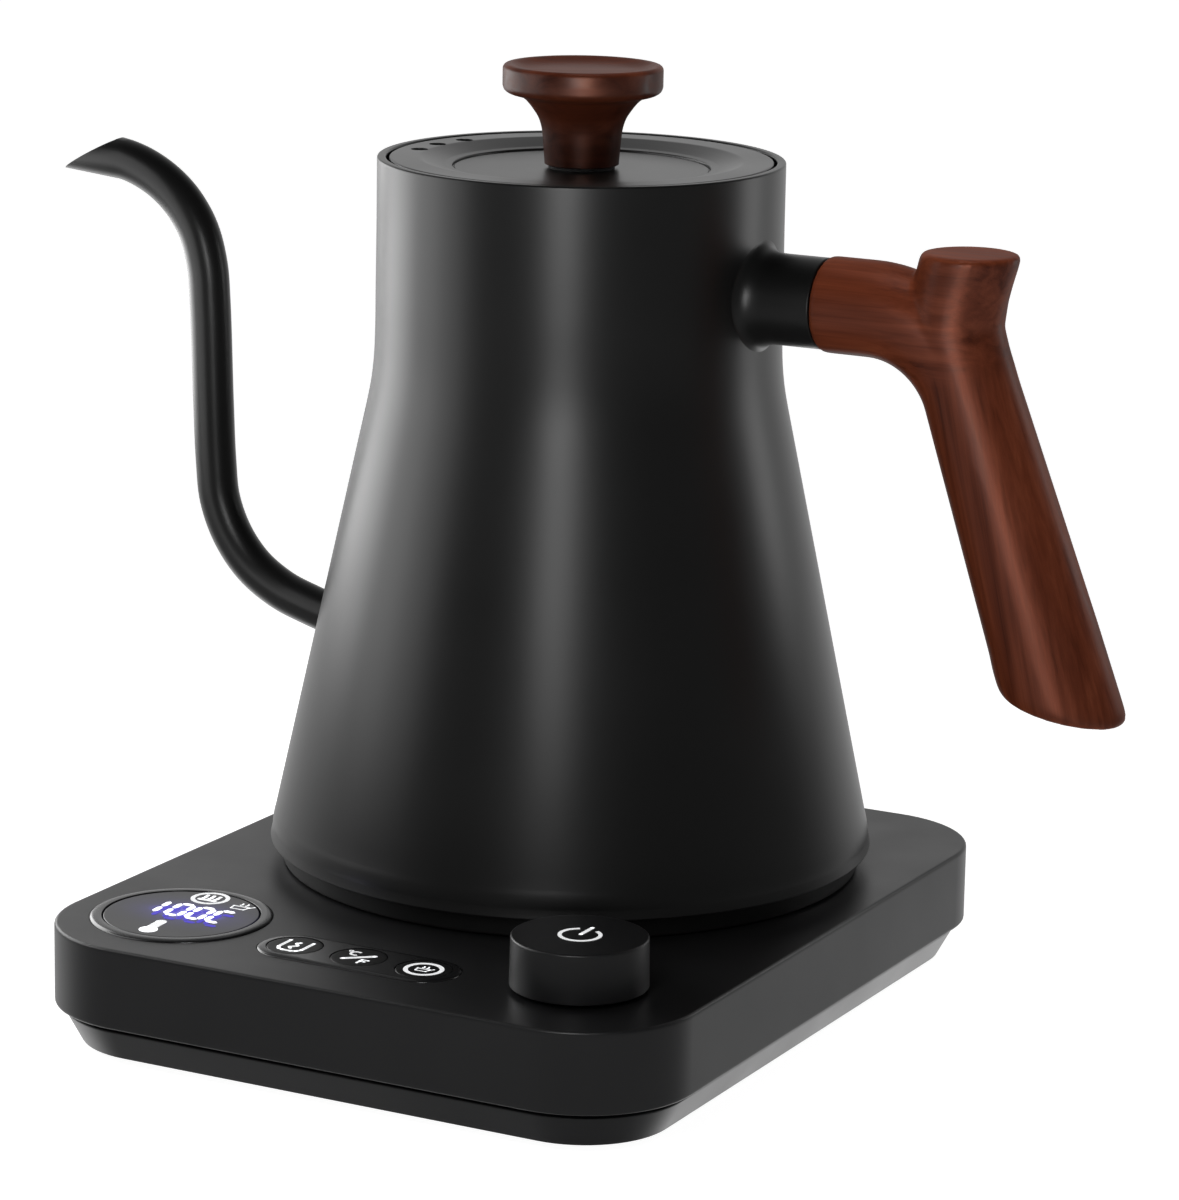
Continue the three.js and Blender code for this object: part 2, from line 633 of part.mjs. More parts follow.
function buildLid() {
  piece(kettle, "lid_plate", lidPlate(), BLACK_METAL);
  const liner = turned([
    [0, 176], [39.8, 176], [41, 177.2], [41, 188.9], [39.6, 188.9], [39.6, 177.5], [0, 177.5],
  ], 36);
  const drip = at(rod(3, 170, 180, 12), -30, 0);
  piece(kettle, "lid_liner", cut(liner, drip), BLACK_METAL);
  piece(kettle, "lid_seal", ring(41.3, 43.7, 180.5, 183.5, 36), SILICONE);
  piece(kettle, "lid_knob", lidKnob(), WALNUT);
  piece(kettle, "knob_washer", ring(2.3, 8, LID_FLOOR + GAP, KNOB_FOOT - GAP), RUBBER);
  piece(kettle, "knob_screw", screw(3.6, 186.4, 188.9, 1.9, 204), STEEL);
}

buildBase();
buildKettle();
buildLid();

export default kettleSet;
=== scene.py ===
"""Looks for an electric gooseneck kettle on its power base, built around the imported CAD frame."""

import math

import bmesh
import bpy
from mathutils import Matrix, Vector


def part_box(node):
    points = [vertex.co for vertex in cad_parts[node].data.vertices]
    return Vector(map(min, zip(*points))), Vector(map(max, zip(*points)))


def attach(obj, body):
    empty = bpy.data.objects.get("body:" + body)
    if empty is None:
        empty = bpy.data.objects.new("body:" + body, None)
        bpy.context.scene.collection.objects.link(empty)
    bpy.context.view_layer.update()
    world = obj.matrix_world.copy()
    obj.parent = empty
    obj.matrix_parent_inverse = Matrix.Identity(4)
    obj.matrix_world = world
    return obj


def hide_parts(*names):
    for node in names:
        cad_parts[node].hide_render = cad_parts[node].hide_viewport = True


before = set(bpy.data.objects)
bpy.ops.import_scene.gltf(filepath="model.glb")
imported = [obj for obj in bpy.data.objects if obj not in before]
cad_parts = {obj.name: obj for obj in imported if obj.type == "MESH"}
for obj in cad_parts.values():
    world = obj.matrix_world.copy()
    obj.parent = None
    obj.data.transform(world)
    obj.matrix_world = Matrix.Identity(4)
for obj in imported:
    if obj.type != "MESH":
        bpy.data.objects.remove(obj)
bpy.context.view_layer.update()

# ---------------------------------------------------------------- units and the frame's sizes
# Lengths are in millimetres until a mesh or an object is made.

MM = 0.001


def low(node):
    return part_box(node)[0] / MM


def high(node):
    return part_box(node)[1] / MM


def centre(node):
    """The middle of a node in plan, at height 0."""
    middle = (low(node) + high(node)) / 2
    return Vector((middle.x, middle.y, 0))


VESSEL = centre("kettle_body")  # the vessel's axis
BASE = centre("base_cover")
DISPLAY = centre("display_lens")
PANEL = centre("button_panel")
DIAL = centre("control_dial")

BASE_SIZE = high("base_cover") - low("base_cover")
BASE_TOP = high("base_cover").z
COVER_LIP = 10.5  # the cover's lower edge; the tray shows below it
TRAY_BOTTOM = low("base_tray").z
BASE_RADIUS = 26
COVER_WALL = 2.2

BODY_LOW = low("kettle_body").z
HEM_LOW = BODY_LOW + 0.75  # lower edge of the hem that hangs over the dark foot
RIM_TOP = high("kettle_body").z
LID_TOP = high("lid_plate").z
KNOB_LOW = low("lid_knob").z
KNOB_TOP = high("lid_knob").z
BODY_WALL = 1.4

ARM_Z = 165.0  # axis of the handle's level arm
ARM_RADIUS = 10.75
ARM_START = low("wood_handle").x - VESSEL.x
BEND_RADIUS = 26.0
LEAN = math.radians(20)  # the grip swings away from the vessel by this much
GRIP_RADII = (10.8, 12.8)  # at 148 mm and at 82 mm

DISPLAY_RADIUS = 20.4
LENS_RADIUS = 17.5
BUTTON_PITCH = 16.2
BUTTON_RADIUS = 6.2
PANEL_RADIUS = 8.3
DIAL_RADIUS = 15.0
PRINT = 0.05  # thickness of printed marks

SIDES = 192
FINE = 15  # degrees in each step of a rounded corner
SHARP = 35  # degrees between two faces, from which their edge is shaded sharp
ON_AXIS = 1e-6  # a smaller radius counts as on the axis
SAME_PLACE = 1e-7  # vertices closer than this many metres are joined
CORNERS = ("front_left", "front_right", "back_left", "back_right")


# ---------------------------------------------------------------- outlines

def rounded(corners, closed=True, support=0.35):
    """An outline of (x, y, radius) corners with each radius turned into an arc.

    Straight runs next to an arc get a point close to it, which keeps flat faces flat when shaded.
    """
    outline = []
    count = len(corners)
    for i, corner in enumerate(corners):
        point = Vector(corner[:2])
        radius = corner[2] if len(corner) > 2 else 0
        at_end = not closed and i in (0, count - 1)
        if radius == 0 or at_end:
            outline.append(point)
            continue
        back = Vector(corners[i - 1][:2]) - point
        on = Vector(corners[(i + 1) % count][:2]) - point
        half = back.angle(on) / 2
        reach = radius / math.tan(half)
        start = point + back.normalized() * reach
        end = point + on.normalized() * reach
        middle = point + (back.normalized() + on.normalized()).normalized() * radius / math.sin(half)
        first = math.atan2(start.y - middle.y, start.x - middle.x)
        turn = math.atan2(end.y - middle.y, end.x - middle.x) - first
        turn = (turn + math.pi) % (2 * math.pi) - math.pi
        steps = max(2, math.ceil(abs(math.degrees(turn)) / FINE))
        if back.length - reach > 3 * support:
            outline.append(start + back.normalized() * support)
        for step in range(steps + 1):
            angle = first + turn * step / steps
            outline.append(middle + Vector((math.cos(angle), math.sin(angle))) * radius)
        if on.length - reach > 3 * support:
            outline.append(end + on.normalized() * support)
    return outline


def curve_through(points, spacing):
    """A centripetal Catmull-Rom curve through points, in steps of about one spacing."""
    knots = [Vector(p) for p in points]
    knots = [2 * knots[0] - knots[1], *knots, 2 * knots[-1] - knots[-2]]
    path = []
    for i in range(1, len(knots) - 2):
        p0, p1, p2, p3 = knots[i - 1:i + 3]
        d0, d1, d2 = [math.sqrt((b - a).length) for a, b in ((p0, p1), (p1, p2), (p2, p3))]
        out1 = ((p1 - p0) / d0 - (p2 - p0) / (d0 + d1) + (p2 - p1) / d1) * d1
        out2 = ((p2 - p1) / d1 - (p3 - p1) / (d1 + d2) + (p3 - p2) / d2) * d1
        steps = max(2, round((p2 - p1).length / spacing))
        for step in range(steps):
            t = step / steps
            path.append(
                p1 * (2 * t ** 3 - 3 * t ** 2 + 1) + out1 * (t ** 3 - 2 * t ** 2 + t)
                + p2 * (3 * t ** 2 - 2 * t ** 3) + out2 * (t ** 3 - t ** 2)
            )
    path.append(knots[-2])
    return path


def spread(start, end, spacing):
    """Points between two others, both left out, about one spacing apart."""
    a, b = Vector(start), Vector(end)
    steps = max(1, round((b - a).length / spacing))
    return [a.lerp(b, i / steps) for i in range(1, steps)]


def around(count):
    """Angles evenly spaced around a full turn."""
    return [2 * math.pi * i / count for i in range(count)]


# ---------------------------------------------------------------- meshes

def make(name, vertices, faces, origin=(0, 0, 0), sharp=SHARP):
    """An object from vertices in millimetres about an origin, shaded smooth up to an angle."""
    mesh = bpy.data.meshes.new(name)
    mesh.from_pydata([Vector(v) * MM for v in vertices], [], faces)
    work = bmesh.new()
    work.from_mesh(mesh)
    bmesh.ops.remove_doubles(work, verts=work.verts, dist=SAME_PLACE)
    bmesh.ops.recalc_face_normals(work, faces=work.faces)
    work.to_mesh(mesh)
    work.free()
    piece = bpy.data.objects.new(name, mesh)
    piece.location = Vector(origin) * MM
    bpy.context.scene.collection.objects.link(piece)
    shade(piece, sharp)
    return piece


def shade(piece, sharp=SHARP):
    piece.data.shade_smooth()
    piece.data.set_sharp_from_angle(angle=math.radians(sharp))


def turned(profile, sides=SIDES):
    """Vertices and faces of a (radius, z) profile turned about Z. It ends on the axis or closes."""
    vertices, rows = [], []
    for radius, z in [(p[0], p[1]) for p in profile]:
        if radius < ON_AXIS:
            rows.append([len(vertices)] * sides)
            vertices.append((0, 0, z))
            continue
        rows.append(list(range(len(vertices), len(vertices) + sides)))
        vertices += [(radius * math.cos(angle), radius * math.sin(angle), z) for angle in around(sides)]
    on_axis = profile[0][0] < ON_AXIS and profile[-1][0] < ON_AXIS
    pairs = list(zip(rows, rows[1:])) + ([] if on_axis else [(rows[-1], rows[0])])
    faces = []
    for lower, upper in pairs:
        for i in range(sides):
            j = (i + 1) % sides
            face = [lower[i], lower[j], upper[j], upper[i]]
            face = [v for k, v in enumerate(face) if v not in face[:k]]
            if len(face) > 2:
                faces.append(face)
    return vertices, faces


def lathe(name, corners, origin, sides=SIDES):
    """A turned solid from (radius, z, fillet) corners."""
    on_axis = corners[0][0] == 0 and corners[-1][0] == 0
    return make(name, *turned(rounded(corners, closed=not on_axis), sides), origin)


def skin(rings, closed_loop=False):
    """Vertices and faces of a skin through equal rings, capped at both ends unless it loops."""
    count = len(rings[0])
    vertices = [v for ring in rings for v in ring]
    levels = len(rings) if closed_loop else len(rings) - 1
    faces = []
    for level in range(levels):
        here = level * count
        there = (level + 1) % len(rings) * count
        for i in range(count):
            j = (i + 1) % count
            faces.append((here + i, here + j, there + j, there + i))
    if not closed_loop:
        faces.append(tuple(range(count)))
        faces.append(tuple(range((len(rings) - 1) * count, len(rings) * count)))
    return vertices, faces


def prism(outline, bottom, top):
    """Vertices and faces of a flat outline raised between two heights."""
    return skin([[(p[0], p[1], z) for p in outline] for z in (bottom, top)])


def merged(parts):
    """Several (vertices, faces) as one."""
    vertices, faces = [], []
    for part_vertices, part_faces in parts:
        offset = len(vertices)
        vertices += [tuple(v) for v in part_vertices]
        faces += [tuple(i + offset for i in face) for face in part_faces]
    return vertices, faces


def apply_modifiers(piece):
    """Bakes the modifiers into the mesh."""
    graph = bpy.context.evaluated_depsgraph_get()
    baked = bpy.data.meshes.new_from_object(piece.evaluated_get(graph))
    piece.modifiers.clear()
    old = piece.data
    piece.data = baked
    bpy.data.meshes.remove(old)
    baked.name = piece.name


def cut(piece, cutters):
    """Cuts closed forms, given as (vertices, faces) in the shared frame, out of a piece."""
    for i, form in enumerate(cutters):
        tool = make(f"{piece.name}_tool_{i}", *form)
        change = piece.modifiers.new("cut", "BOOLEAN")
        change.operation = "DIFFERENCE"
        change.solver = "EXACT"
        change.object = tool
        apply_modifiers(piece)
        bpy.data.objects.remove(tool)
    shade(piece)


def moved(form, x=0.0, y=0.0, z=0.0):
    """A (vertices, faces) form moved."""
    return [(v[0] + x, v[1] + y, v[2] + z) for v in form[0]], form[1]


def cylinder(radius, bottom, top, sides=64):
    return turned([(0, bottom), (radius, bottom), (radius, top), (0, top)], sides)


def finish(piece, body, slot, materials, *nodes):
    """Gives a piece its material or materials and its body, and hides the CAD nodes it stands for. Slot is
    not used.
    """
    for material in materials if isinstance(materials, (list, tuple)) else [materials]:
        piece.data.materials.append(material)
    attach(piece, body)
    if nodes:
        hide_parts(*nodes)


def turned_piece(name, body, slot, material, node, origin, corners, sides=SIDES):
    """A turned piece that stands for one CAD node."""
    finish(lathe(name, corners, origin, sides), body, slot, material, node)


# ---------------------------------------------------------------- material nodes

NOISE_RANGE = (0.3, 0.7)  # most of a noise's values lie between these
FINE_RELIEF = 0.00002  # metres from the low to the high places of a fine grain


class Tree:
    """A short way to write a node tree."""

    def __init__(self, tree):
        self.tree = tree

    def add(self, kind, inputs=None, **settings):
        node = self.tree.nodes.new(kind)
        for key, value in settings.items():
            setattr(node, key, value)
        for key, value in (inputs or {}).items():
            self.put(node.inputs[key], value)
        return node

    def put(self, socket, value):
        if isinstance(value, bpy.types.NodeSocket):
            self.tree.links.new(value, socket)
        else:
            socket.default_value = value

    def maths(self, operation, first, second=0.0):
        return self.add("ShaderNodeMath", {0: first, 1: second}, operation=operation).outputs[0]

    def ramp(self, value, stops, blend="LINEAR"):
        """A colour ramp of (place, (r, g, b)) stops."""
        node = self.add("ShaderNodeValToRGB", {"Fac": value})
        node.color_ramp.interpolation = blend
        elements = node.color_ramp.elements
        while len(elements) < len(stops):
            elements.new(1.0)
        for element, (place, colour) in zip(elements, stops):
            element.position = place
            element.color = (*colour, 1.0)
        return node.outputs["Color"]


class Nodes(Tree):
    """The node tree of a new material."""

    def __init__(self, name):
        self.material = bpy.data.materials.new(name)
        self.material.use_nodes = True
        super().__init__(self.material.node_tree)
        self.shader = self.tree.nodes["Principled BSDF"]

    def shade(self, **values):
        for key, value in values.items():
            self.put(self.shader.inputs[key.replace("_", " ")], value)

    def object_point(self, scale=(1, 1, 1)):
        """Object coordinates in metres, scaled."""
        source = self.add("ShaderNodeTexCoord").outputs["Object"]
        return self.add("ShaderNodeMapping", {"Vector": source, "Scale": scale}).outputs["Vector"]

    def noise(self, vector, scale, detail=2.0, rough=0.5, distortion=0.0):
        inputs = {
            "Vector": vector, "Scale": scale, "Detail": detail,
            "Roughness": rough, "Distortion": distortion,
        }
        return self.add("ShaderNodeTexNoise", inputs).outputs["Fac"]

    def span(self, value, low_out, high_out, low_in=0.0, high_in=1.0):
        """A value carried from one range to another."""
        inputs = {
            "Value": value, "From Min": low_in, "From Max": high_in,
            "To Min": low_out, "To Max": high_out,
        }
        return self.add("ShaderNodeMapRange", inputs).outputs["Result"]

    def level(self, noise, low_out, high_out):
        """A noise carried to a range that it nearly fills."""
        return self.span(noise, low_out, high_out, *NOISE_RANGE)

    def tone(self, noise, dark, light):
        """A colour between two, chosen by a noise."""
        return self.ramp(noise, list(zip(NOISE_RANGE, (dark, light))))

    def bump(self, height, distance, strength=1.0):
        inputs = {"Height": height, "Distance": distance, "Strength": strength}
        return self.add("ShaderNodeBump", inputs).outputs["Normal"]


def grey(value):
    return (value, value, value)


def coated_metal(name, shine=0.5):
    """Satin black powder coat: a fine orange-peel skin with slight changes of sheen."""
    n = Nodes(name)
    point = n.object_point()
    peel = n.noise(point, 2600, 2.0, 0.6)
    cloud = n.noise(point, 26, 3.0)
    n.shade(
        Base_Color=n.tone(cloud, grey(0.0052), grey(0.0064)),
        Roughness=n.level(cloud, 0.325, 0.36),
        Normal=n.bump(peel, FINE_RELIEF, 0.25),
        Specular_IOR_Level=shine,
    )
    return n.material


def moulded_plastic(name, shade_low, shade_high, rough_low, rough_high, grain=3200, shine=0.5):
    """A moulding with a fine spark-eroded grain."""
    n = Nodes(name)
    point = n.object_point()
    texture = n.noise(point, grain, 2.0, 0.7)
    cloud = n.noise(point, 40, 3.0)
    n.shade(
        Base_Color=n.tone(cloud, shade_low, shade_high),
        Roughness=n.level(cloud, rough_low, rough_high),
        Normal=n.bump(texture, FINE_RELIEF, 0.35),
        Specular_IOR_Level=shine,
    )
    return n.material


def wood(name, *grains, mix=None, depth=1.0, varnish=0.28):
    """Dark red walnut under a thin satin varnish.

    Each grain is the name of an attribute that holds a place in the wood in millimetres, with its
    fibres along X. With two of them, the attribute named by mix fades from the first to the second.
    A smaller depth makes darker wood, and a larger varnish a stronger sheen.
    """
    n = Nodes(name)

    def figure(grain):
        """The tone, streaks and fibres of the wood along one grain."""
        source = n.add("ShaderNodeAttribute", attribute_name=grain).outputs["Vector"]

        def stretched(along, across):
            inputs = {"Vector": source, "Scale": (along, across, across)}
            return n.add("ShaderNodeMapping", inputs).outputs["Vector"]

        broad = n.noise(stretched(0.011, 0.085), 1.0, 2.0, 0.5, 1.1)
        streak = n.noise(stretched(0.016, 0.48), 1.0, 3.0, 0.55, 0.6)
        fibre = n.noise(stretched(0.06, 3.4), 1.0, 3.0, 0.6)
        tone = n.maths("ADD", n.maths("MULTIPLY", broad, 0.46), n.maths("MULTIPLY", streak, 0.42))
        return n.maths("ADD", tone, n.maths("MULTIPLY", fibre, 0.17)), streak, fibre

    tone, streaks, fibre = figure(grains[0])
    if mix:
        share = n.add("ShaderNodeAttribute", attribute_name=mix).outputs["Fac"]
        tone, streaks, fibre = [
            n.maths("ADD", n.maths("MULTIPLY", second, share),
                    n.maths("MULTIPLY", first, n.maths("SUBTRACT", 1.0, share)))
            for first, second in zip((tone, streaks, fibre), figure(grains[1]))
        ]
    tones = [
        (0.37, (0.044, 0.0090, 0.0038)),
        (0.46, (0.076, 0.0165, 0.0066)),
        (0.54, (0.100, 0.0225, 0.0090)),
        (0.65, (0.134, 0.0325, 0.0134)),
    ]
    n.shade(
        Base_Color=n.ramp(tone, [(place, [c * depth for c in colour]) for place, colour in tones]),
        Roughness=n.level(fibre, 0.40, 0.48),
        Coat_Roughness=n.level(streaks, 0.30, 0.44),
        Normal=n.bump(fibre, 0.00003, 0.3),
        Specular_IOR_Level=0.0,
        Coat_Weight=varnish,
    )
    return n.material


def rubber(name, tone):
    """Rubber or silicone with a dull, slightly uneven skin."""
    n = Nodes(name)
    texture = n.noise(n.object_point(), 1500, 3.0, 0.7)
    n.shade(
        Base_Color=n.tone(texture, grey(tone * 0.8), grey(tone * 1.2)),
        Roughness=n.span(texture, 0.62, 0.8),
        Normal=n.bump(texture, 0.00005, 0.4),
    )
    return n.material


def metal(name, dark, light, rough_low, rough_high, stretch=(1, 1, 1)):
    """Bare metal with fine lines from turning or rolling."""
    n = Nodes(name)
    lines = n.noise(n.object_point(stretch), 900, 3.0, 0.6)
    cloud = n.noise(n.object_point(), 60, 2.0)
    n.shade(
        Base_Color=n.tone(cloud, dark, light),
        Roughness=n.level(lines, rough_low, rough_high),
        Normal=n.bump(lines, FINE_RELIEF, 0.3),
        Metallic=1.0,
    )
    return n.material


def printed_white(name, strength, tone=(0.86, 0.87, 0.88)):
    """White print, lit from behind where it has strength."""
    n = Nodes(name)
    patch = n.noise(n.object_point(), 900, 2.0)
    n.shade(
        Base_Color=n.tone(patch, [c * 0.95 for c in tone], tone),
        Roughness=n.span(patch, 0.4, 0.5),
        Emission_Color=(*tone, 1.0),
        Emission_Strength=strength,
    )
    return n.material


def glow_lens(middle_x, middle_y, spread_x, spread_y):
    """Smoked lens whose blue backlight bleeds out around the digits, in metres from its middle."""
    n = Nodes("smoked_lens")
    point = n.object_point()
    texture = n.noise(point, 2600, 2.0, 0.6)
    cloud = n.noise(point, 60, 2.0)
    parts = n.add("ShaderNodeSeparateXYZ", {"Vector": point})
    across = n.maths("DIVIDE", n.maths("SUBTRACT", parts.outputs["X"], middle_x), spread_x)
    along = n.maths("DIVIDE", n.maths("SUBTRACT", parts.outputs["Y"], middle_y), spread_y)
    distance = n.maths("ADD", n.maths("POWER", across, 2.0), n.maths("POWER", along, 2.0))
    halo = n.maths("EXPONENT", n.maths("MULTIPLY", distance, -1.0))
    halo = n.maths("MULTIPLY", halo, n.level(n.noise(point, 150, 2.0), 0.75, 1.2))
    glow = [(0.0, (0, 0, 0)), (0.4, (0.012, 0.009, 0.07)), (1.0, (0.10, 0.08, 0.72))]
    n.shade(
        Base_Color=n.tone(cloud, (0.010, 0.010, 0.012), (0.012, 0.012, 0.014)),
        Roughness=n.level(cloud, 0.30, 0.34),
        Normal=n.bump(texture, FINE_RELIEF, 0.2),
        Emission_Color=n.ramp(halo, glow),
        Emission_Strength=1.0,
    )
    return n.material


def led_blue():
    """The digits' blue second image, seen through the lens."""
    n = Nodes("lit_digit_blue")
    patch = n.noise(n.object_point(), 700, 2.0)
    n.shade(
        Base_Color=n.tone(patch, (0.01, 0.01, 0.10), (0.015, 0.012, 0.14)),
        Roughness=n.span(patch, 0.35, 0.45),
        Emission_Color=n.tone(patch, (0.020, 0.004, 0.40), (0.035, 0.010, 0.55)),
        Emission_Strength=1.0,
    )
    return n.material


COAT = coated_metal("black_powder_coat")
LID_COAT = coated_metal("lid_powder_coat", shine=0.85)
PLASTIC_TONES = (0.0095, 0.0095, 0.0102), (0.0115, 0.0115, 0.0122)
PLASTIC = moulded_plastic("black_moulding", *PLASTIC_TONES, 0.36, 0.42, shine=0.55)
TRIM = moulded_plastic("polished_moulding", *PLASTIC_TONES, 0.20, 0.24, shine=0.75)
BUTTON_PLASTIC = moulded_plastic("button_moulding", grey(0.0045), grey(0.006), 0.40, 0.46, shine=0.3)
DARK_PLASTIC = moulded_plastic("dark_moulding", grey(0.0035), grey(0.005), 0.42, 0.50, shine=0.32)
WOOD = wood("walnut_handle", "arm_grain", "grip_grain", mix="grip_share")
KNOB_WOOD = wood("walnut_knob", "arm_grain", depth=0.56, varnish=0.5)
RUBBER = rubber("black_rubber", 0.018)
SILICONE = rubber("silicone", 0.55)
STEEL = metal("stainless_steel", (0.50, 0.50, 0.51), (0.58, 0.58, 0.59), 0.22, 0.34)
LINED_STEEL = metal("drawn_steel", (0.48, 0.48, 0.49), (0.56, 0.56, 0.57), 0.28, 0.42, (1, 1, 0.04))
BRASS = metal("contact_brass", (0.62, 0.43, 0.16), (0.70, 0.50, 0.20), 0.22, 0.32)
BOARD = moulded_plastic("solder_mask", (0.008, 0.055, 0.028), (0.012, 0.075, 0.038), 0.35, 0.45, 900)
RELAY = moulded_plastic("relay_case", (0.018, 0.065, 0.20), (0.024, 0.08, 0.25), 0.35, 0.45, 900)
PRINT_WHITE = printed_white("printed_mark", 0.6)
LED_WHITE = printed_white("lit_digit", 1.6, (0.92, 0.93, 1.0))
LENS = glow_lens(0.0010, 0.0016, 0.0100, 0.0062)
LED_BLUE = led_blue()


# ---------------------------------------------------------------- vessel

CONE = ((68.5, 40.8), (48.0, 136.4))  # radius and height at the foot and head of the straight cone
NECK_RADIUS = 46.15
MOUTH_RADIUS = 44.1
HEM_RADIUS = 69.78
HEM_INSIDE = 66.95
BARE_BELOW = 187  # inside the vessel, the steel is bare up to this height


def body_outline(inset=0.0):
    """The vessel's outside from its flared hem to just under the rim."""
    turn = curve_through(
        [(69.3, HEM_LOW + 2.1), (69.2, HEM_LOW + 3.35), (68.92, HEM_LOW + 5.05), CONE[0]], 0.4)
    hem = rounded(
        [(HEM_INSIDE, HEM_LOW + 0.3), (HEM_INSIDE, HEM_LOW), (HEM_RADIUS, HEM_LOW, 0.25), turn[0]],
        closed=False, support=0.2,
    )
    shoulder = curve_through(
        [CONE[1], (47.15, 141), (46.55, 146.5), (46.3, 153), (46.25, 162), (NECK_RADIUS, 178)], 1.5)
    outline = [*hem[:-1], *turn, *spread(*CONE, 3.0), *shoulder]
    return [Vector((p.x - inset, p.y)) for p in outline]


def body_radius(z):
    """The vessel's outer radius at a height on its cone or neck."""
    (foot, foot_z), (head, head_z) = CONE
    if z < head_z:
        return foot + (head - foot) * (z - foot_z) / (head_z - foot_z)
    return head + (NECK_RADIUS + 0.15 - head) * min(1.0, (z - head_z) / 14)


def vessel():
    outside = body_outline()
    inside = [p for p in body_outline(BODY_WALL) if p.y > HEM_LOW + 2.0][::-1]
    rim = rounded(
        [
            (NECK_RADIUS, 178), (NECK_RADIUS, RIM_TOP, 0.45), (MOUTH_RADIUS, RIM_TOP, 0.5),
            (MOUTH_RADIUS, 188.0, 0.6), (44.85, 186.4, 0.6), (NECK_RADIUS - BODY_WALL, 184),
        ],
        closed=False,
    )
    piece = make("vessel_shell", *turned([*outside, *rim[1:], *inside], 256), VESSEL)
    cut(piece, [moved(spout_rod(SPOUT_BORE), *VESSEL)])
    finish(piece, "kettle", "black_metal", [COAT, LINED_STEEL], "kettle_body")
    for face in piece.data.polygons:
        point = face.center / MM
        radial = Vector((point.x, point.y, 0)).normalized()
        looks_in = face.normal.dot(radial) < -0.3
        if looks_in and point.z < BARE_BELOW and point.xy.length < body_radius(point.z) - 1.0:
            face.material_index = 1


# ---------------------------------------------------------------- spout

SPOUT_RADIUS = 4.85
SPOUT_BORE = 3.95
SPOUT_SIDES = 48
SPOUT_PATH = [
    (-50, 74.6), (-60.5, 77.2), (-71, 79.9), (-79, 82.6), (-86.9, 87.5), (-92.7, 94.4),
    (-96.3, 102.8), (-97.4, 112), (-98.1, 126), (-99, 150), (-99.8, 159), (-102.2, 167),
    (-106.3, 173.1), (-111.1, 177.3), (-116.8, 180.4), (-122.5, 182.2), (-131, 183.2),
    (-143, 184),
]
MOUTH_POINT = Vector((-131.1, 0, 183.4))  # a point on the slanted plane that cuts the mouth
MOUTH_SLOPE = math.atan2(7.6, 14.1)
ROOT_OUTER, ROOT_INNER = -75, -52  # X of the ends of the spout's root, about the vessel's wall


def spout_rings(radius):
    """Rings of a round tube along the spout's centreline, from inside the vessel to past the mouth."""
    path = [Vector((p.x, 0, p.y)) for p in curve_through(SPOUT_PATH, 1.4)]
    across = Vector((0, 1, 0))
    rings = []
    for i, point in enumerate(path):
        ahead = (path[min(i + 1, len(path) - 1)] - path[max(i - 1, 0)]).normalized()
        up = ahead.cross(across)
        rings.append([
            point + (across * math.cos(angle) + up * math.sin(angle)) * radius
            for angle in around(SPOUT_SIDES)
        ])
    return rings


def beyond_mouth(point):
    """How far a point lies above the plane that cuts the spout's mouth."""
    normal = Vector((-math.sin(MOUTH_SLOPE), 0, math.cos(MOUTH_SLOPE)))
    return (point - MOUTH_POINT).dot(normal)


def outside_body(depth):
    """A test of how far outside the vessel a point lies, counted from a depth under its surface."""
    return lambda point: point.xy.length - (body_radius(point.z) - depth)


def trimmed(rings, test, from_start):
    """Rings with one end cut back to where the test changes sign, side by side."""
    order = rings if from_start else rings[::-1]
    crossings, last = [], 0
    for k in range(len(order[0])):
        for i in range(len(order) - 1):
            a, b = test(order[i][k]), test(order[i + 1][k])
            if a < 0 <= b or b <= 0 < a:
                crossings.append(order[i][k].lerp(order[i + 1][k], a / (a - b)))
                last = max(last, i + 1)
                break
        else:
            crossings.append(order[0][k])
    kept = [crossings, *order[last + 1:]]
    return kept if from_start else kept[::-1]


def spout_rod(radius):
    """A closed rod along the spout's root, through the vessel's wall."""
    rings = [ring for ring in spout_rings(radius) if ring[0].x > ROOT_OUTER]
    return skin([ring for ring in rings if min(p.x for p in ring) < ROOT_INNER])


def spout():
    outer = trimmed(spout_rings(SPOUT_RADIUS), outside_body(0.5), True)
    inner = trimmed(spout_rings(SPOUT_BORE), outside_body(0.7), True)
    outer = trimmed(outer, beyond_mouth, False)
    inner = trimmed(inner, beyond_mouth, False)
    vertices, faces = merged([skin(outer), skin(inner)])
    faces = [face for face in faces if len(face) == 4]
    outer_count, count = len(outer) * SPOUT_SIDES, SPOUT_SIDES
    ends = [(0, outer_count), (outer_count - count, outer_count + (len(inner) - 1) * count)]
    for first, second in ends:
        for i in range(count):
            j = (i + 1) % count
            faces.append((first + i, first + j, second + j, second + i))
    piece = make("gooseneck_spout", vertices, faces, VESSEL, 40)
    soften = piece.modifiers.new("edge", "BEVEL")
    soften.width = 0.18 * MM
    soften.segments = 2
    soften.limit_method = "ANGLE"
    soften.angle_limit = math.radians(45)
    apply_modifiers(piece)
    shade(piece, 40)
    finish(piece, "kettle", "black_metal", COAT, "spout")


# ---------------------------------------------------------------- handle

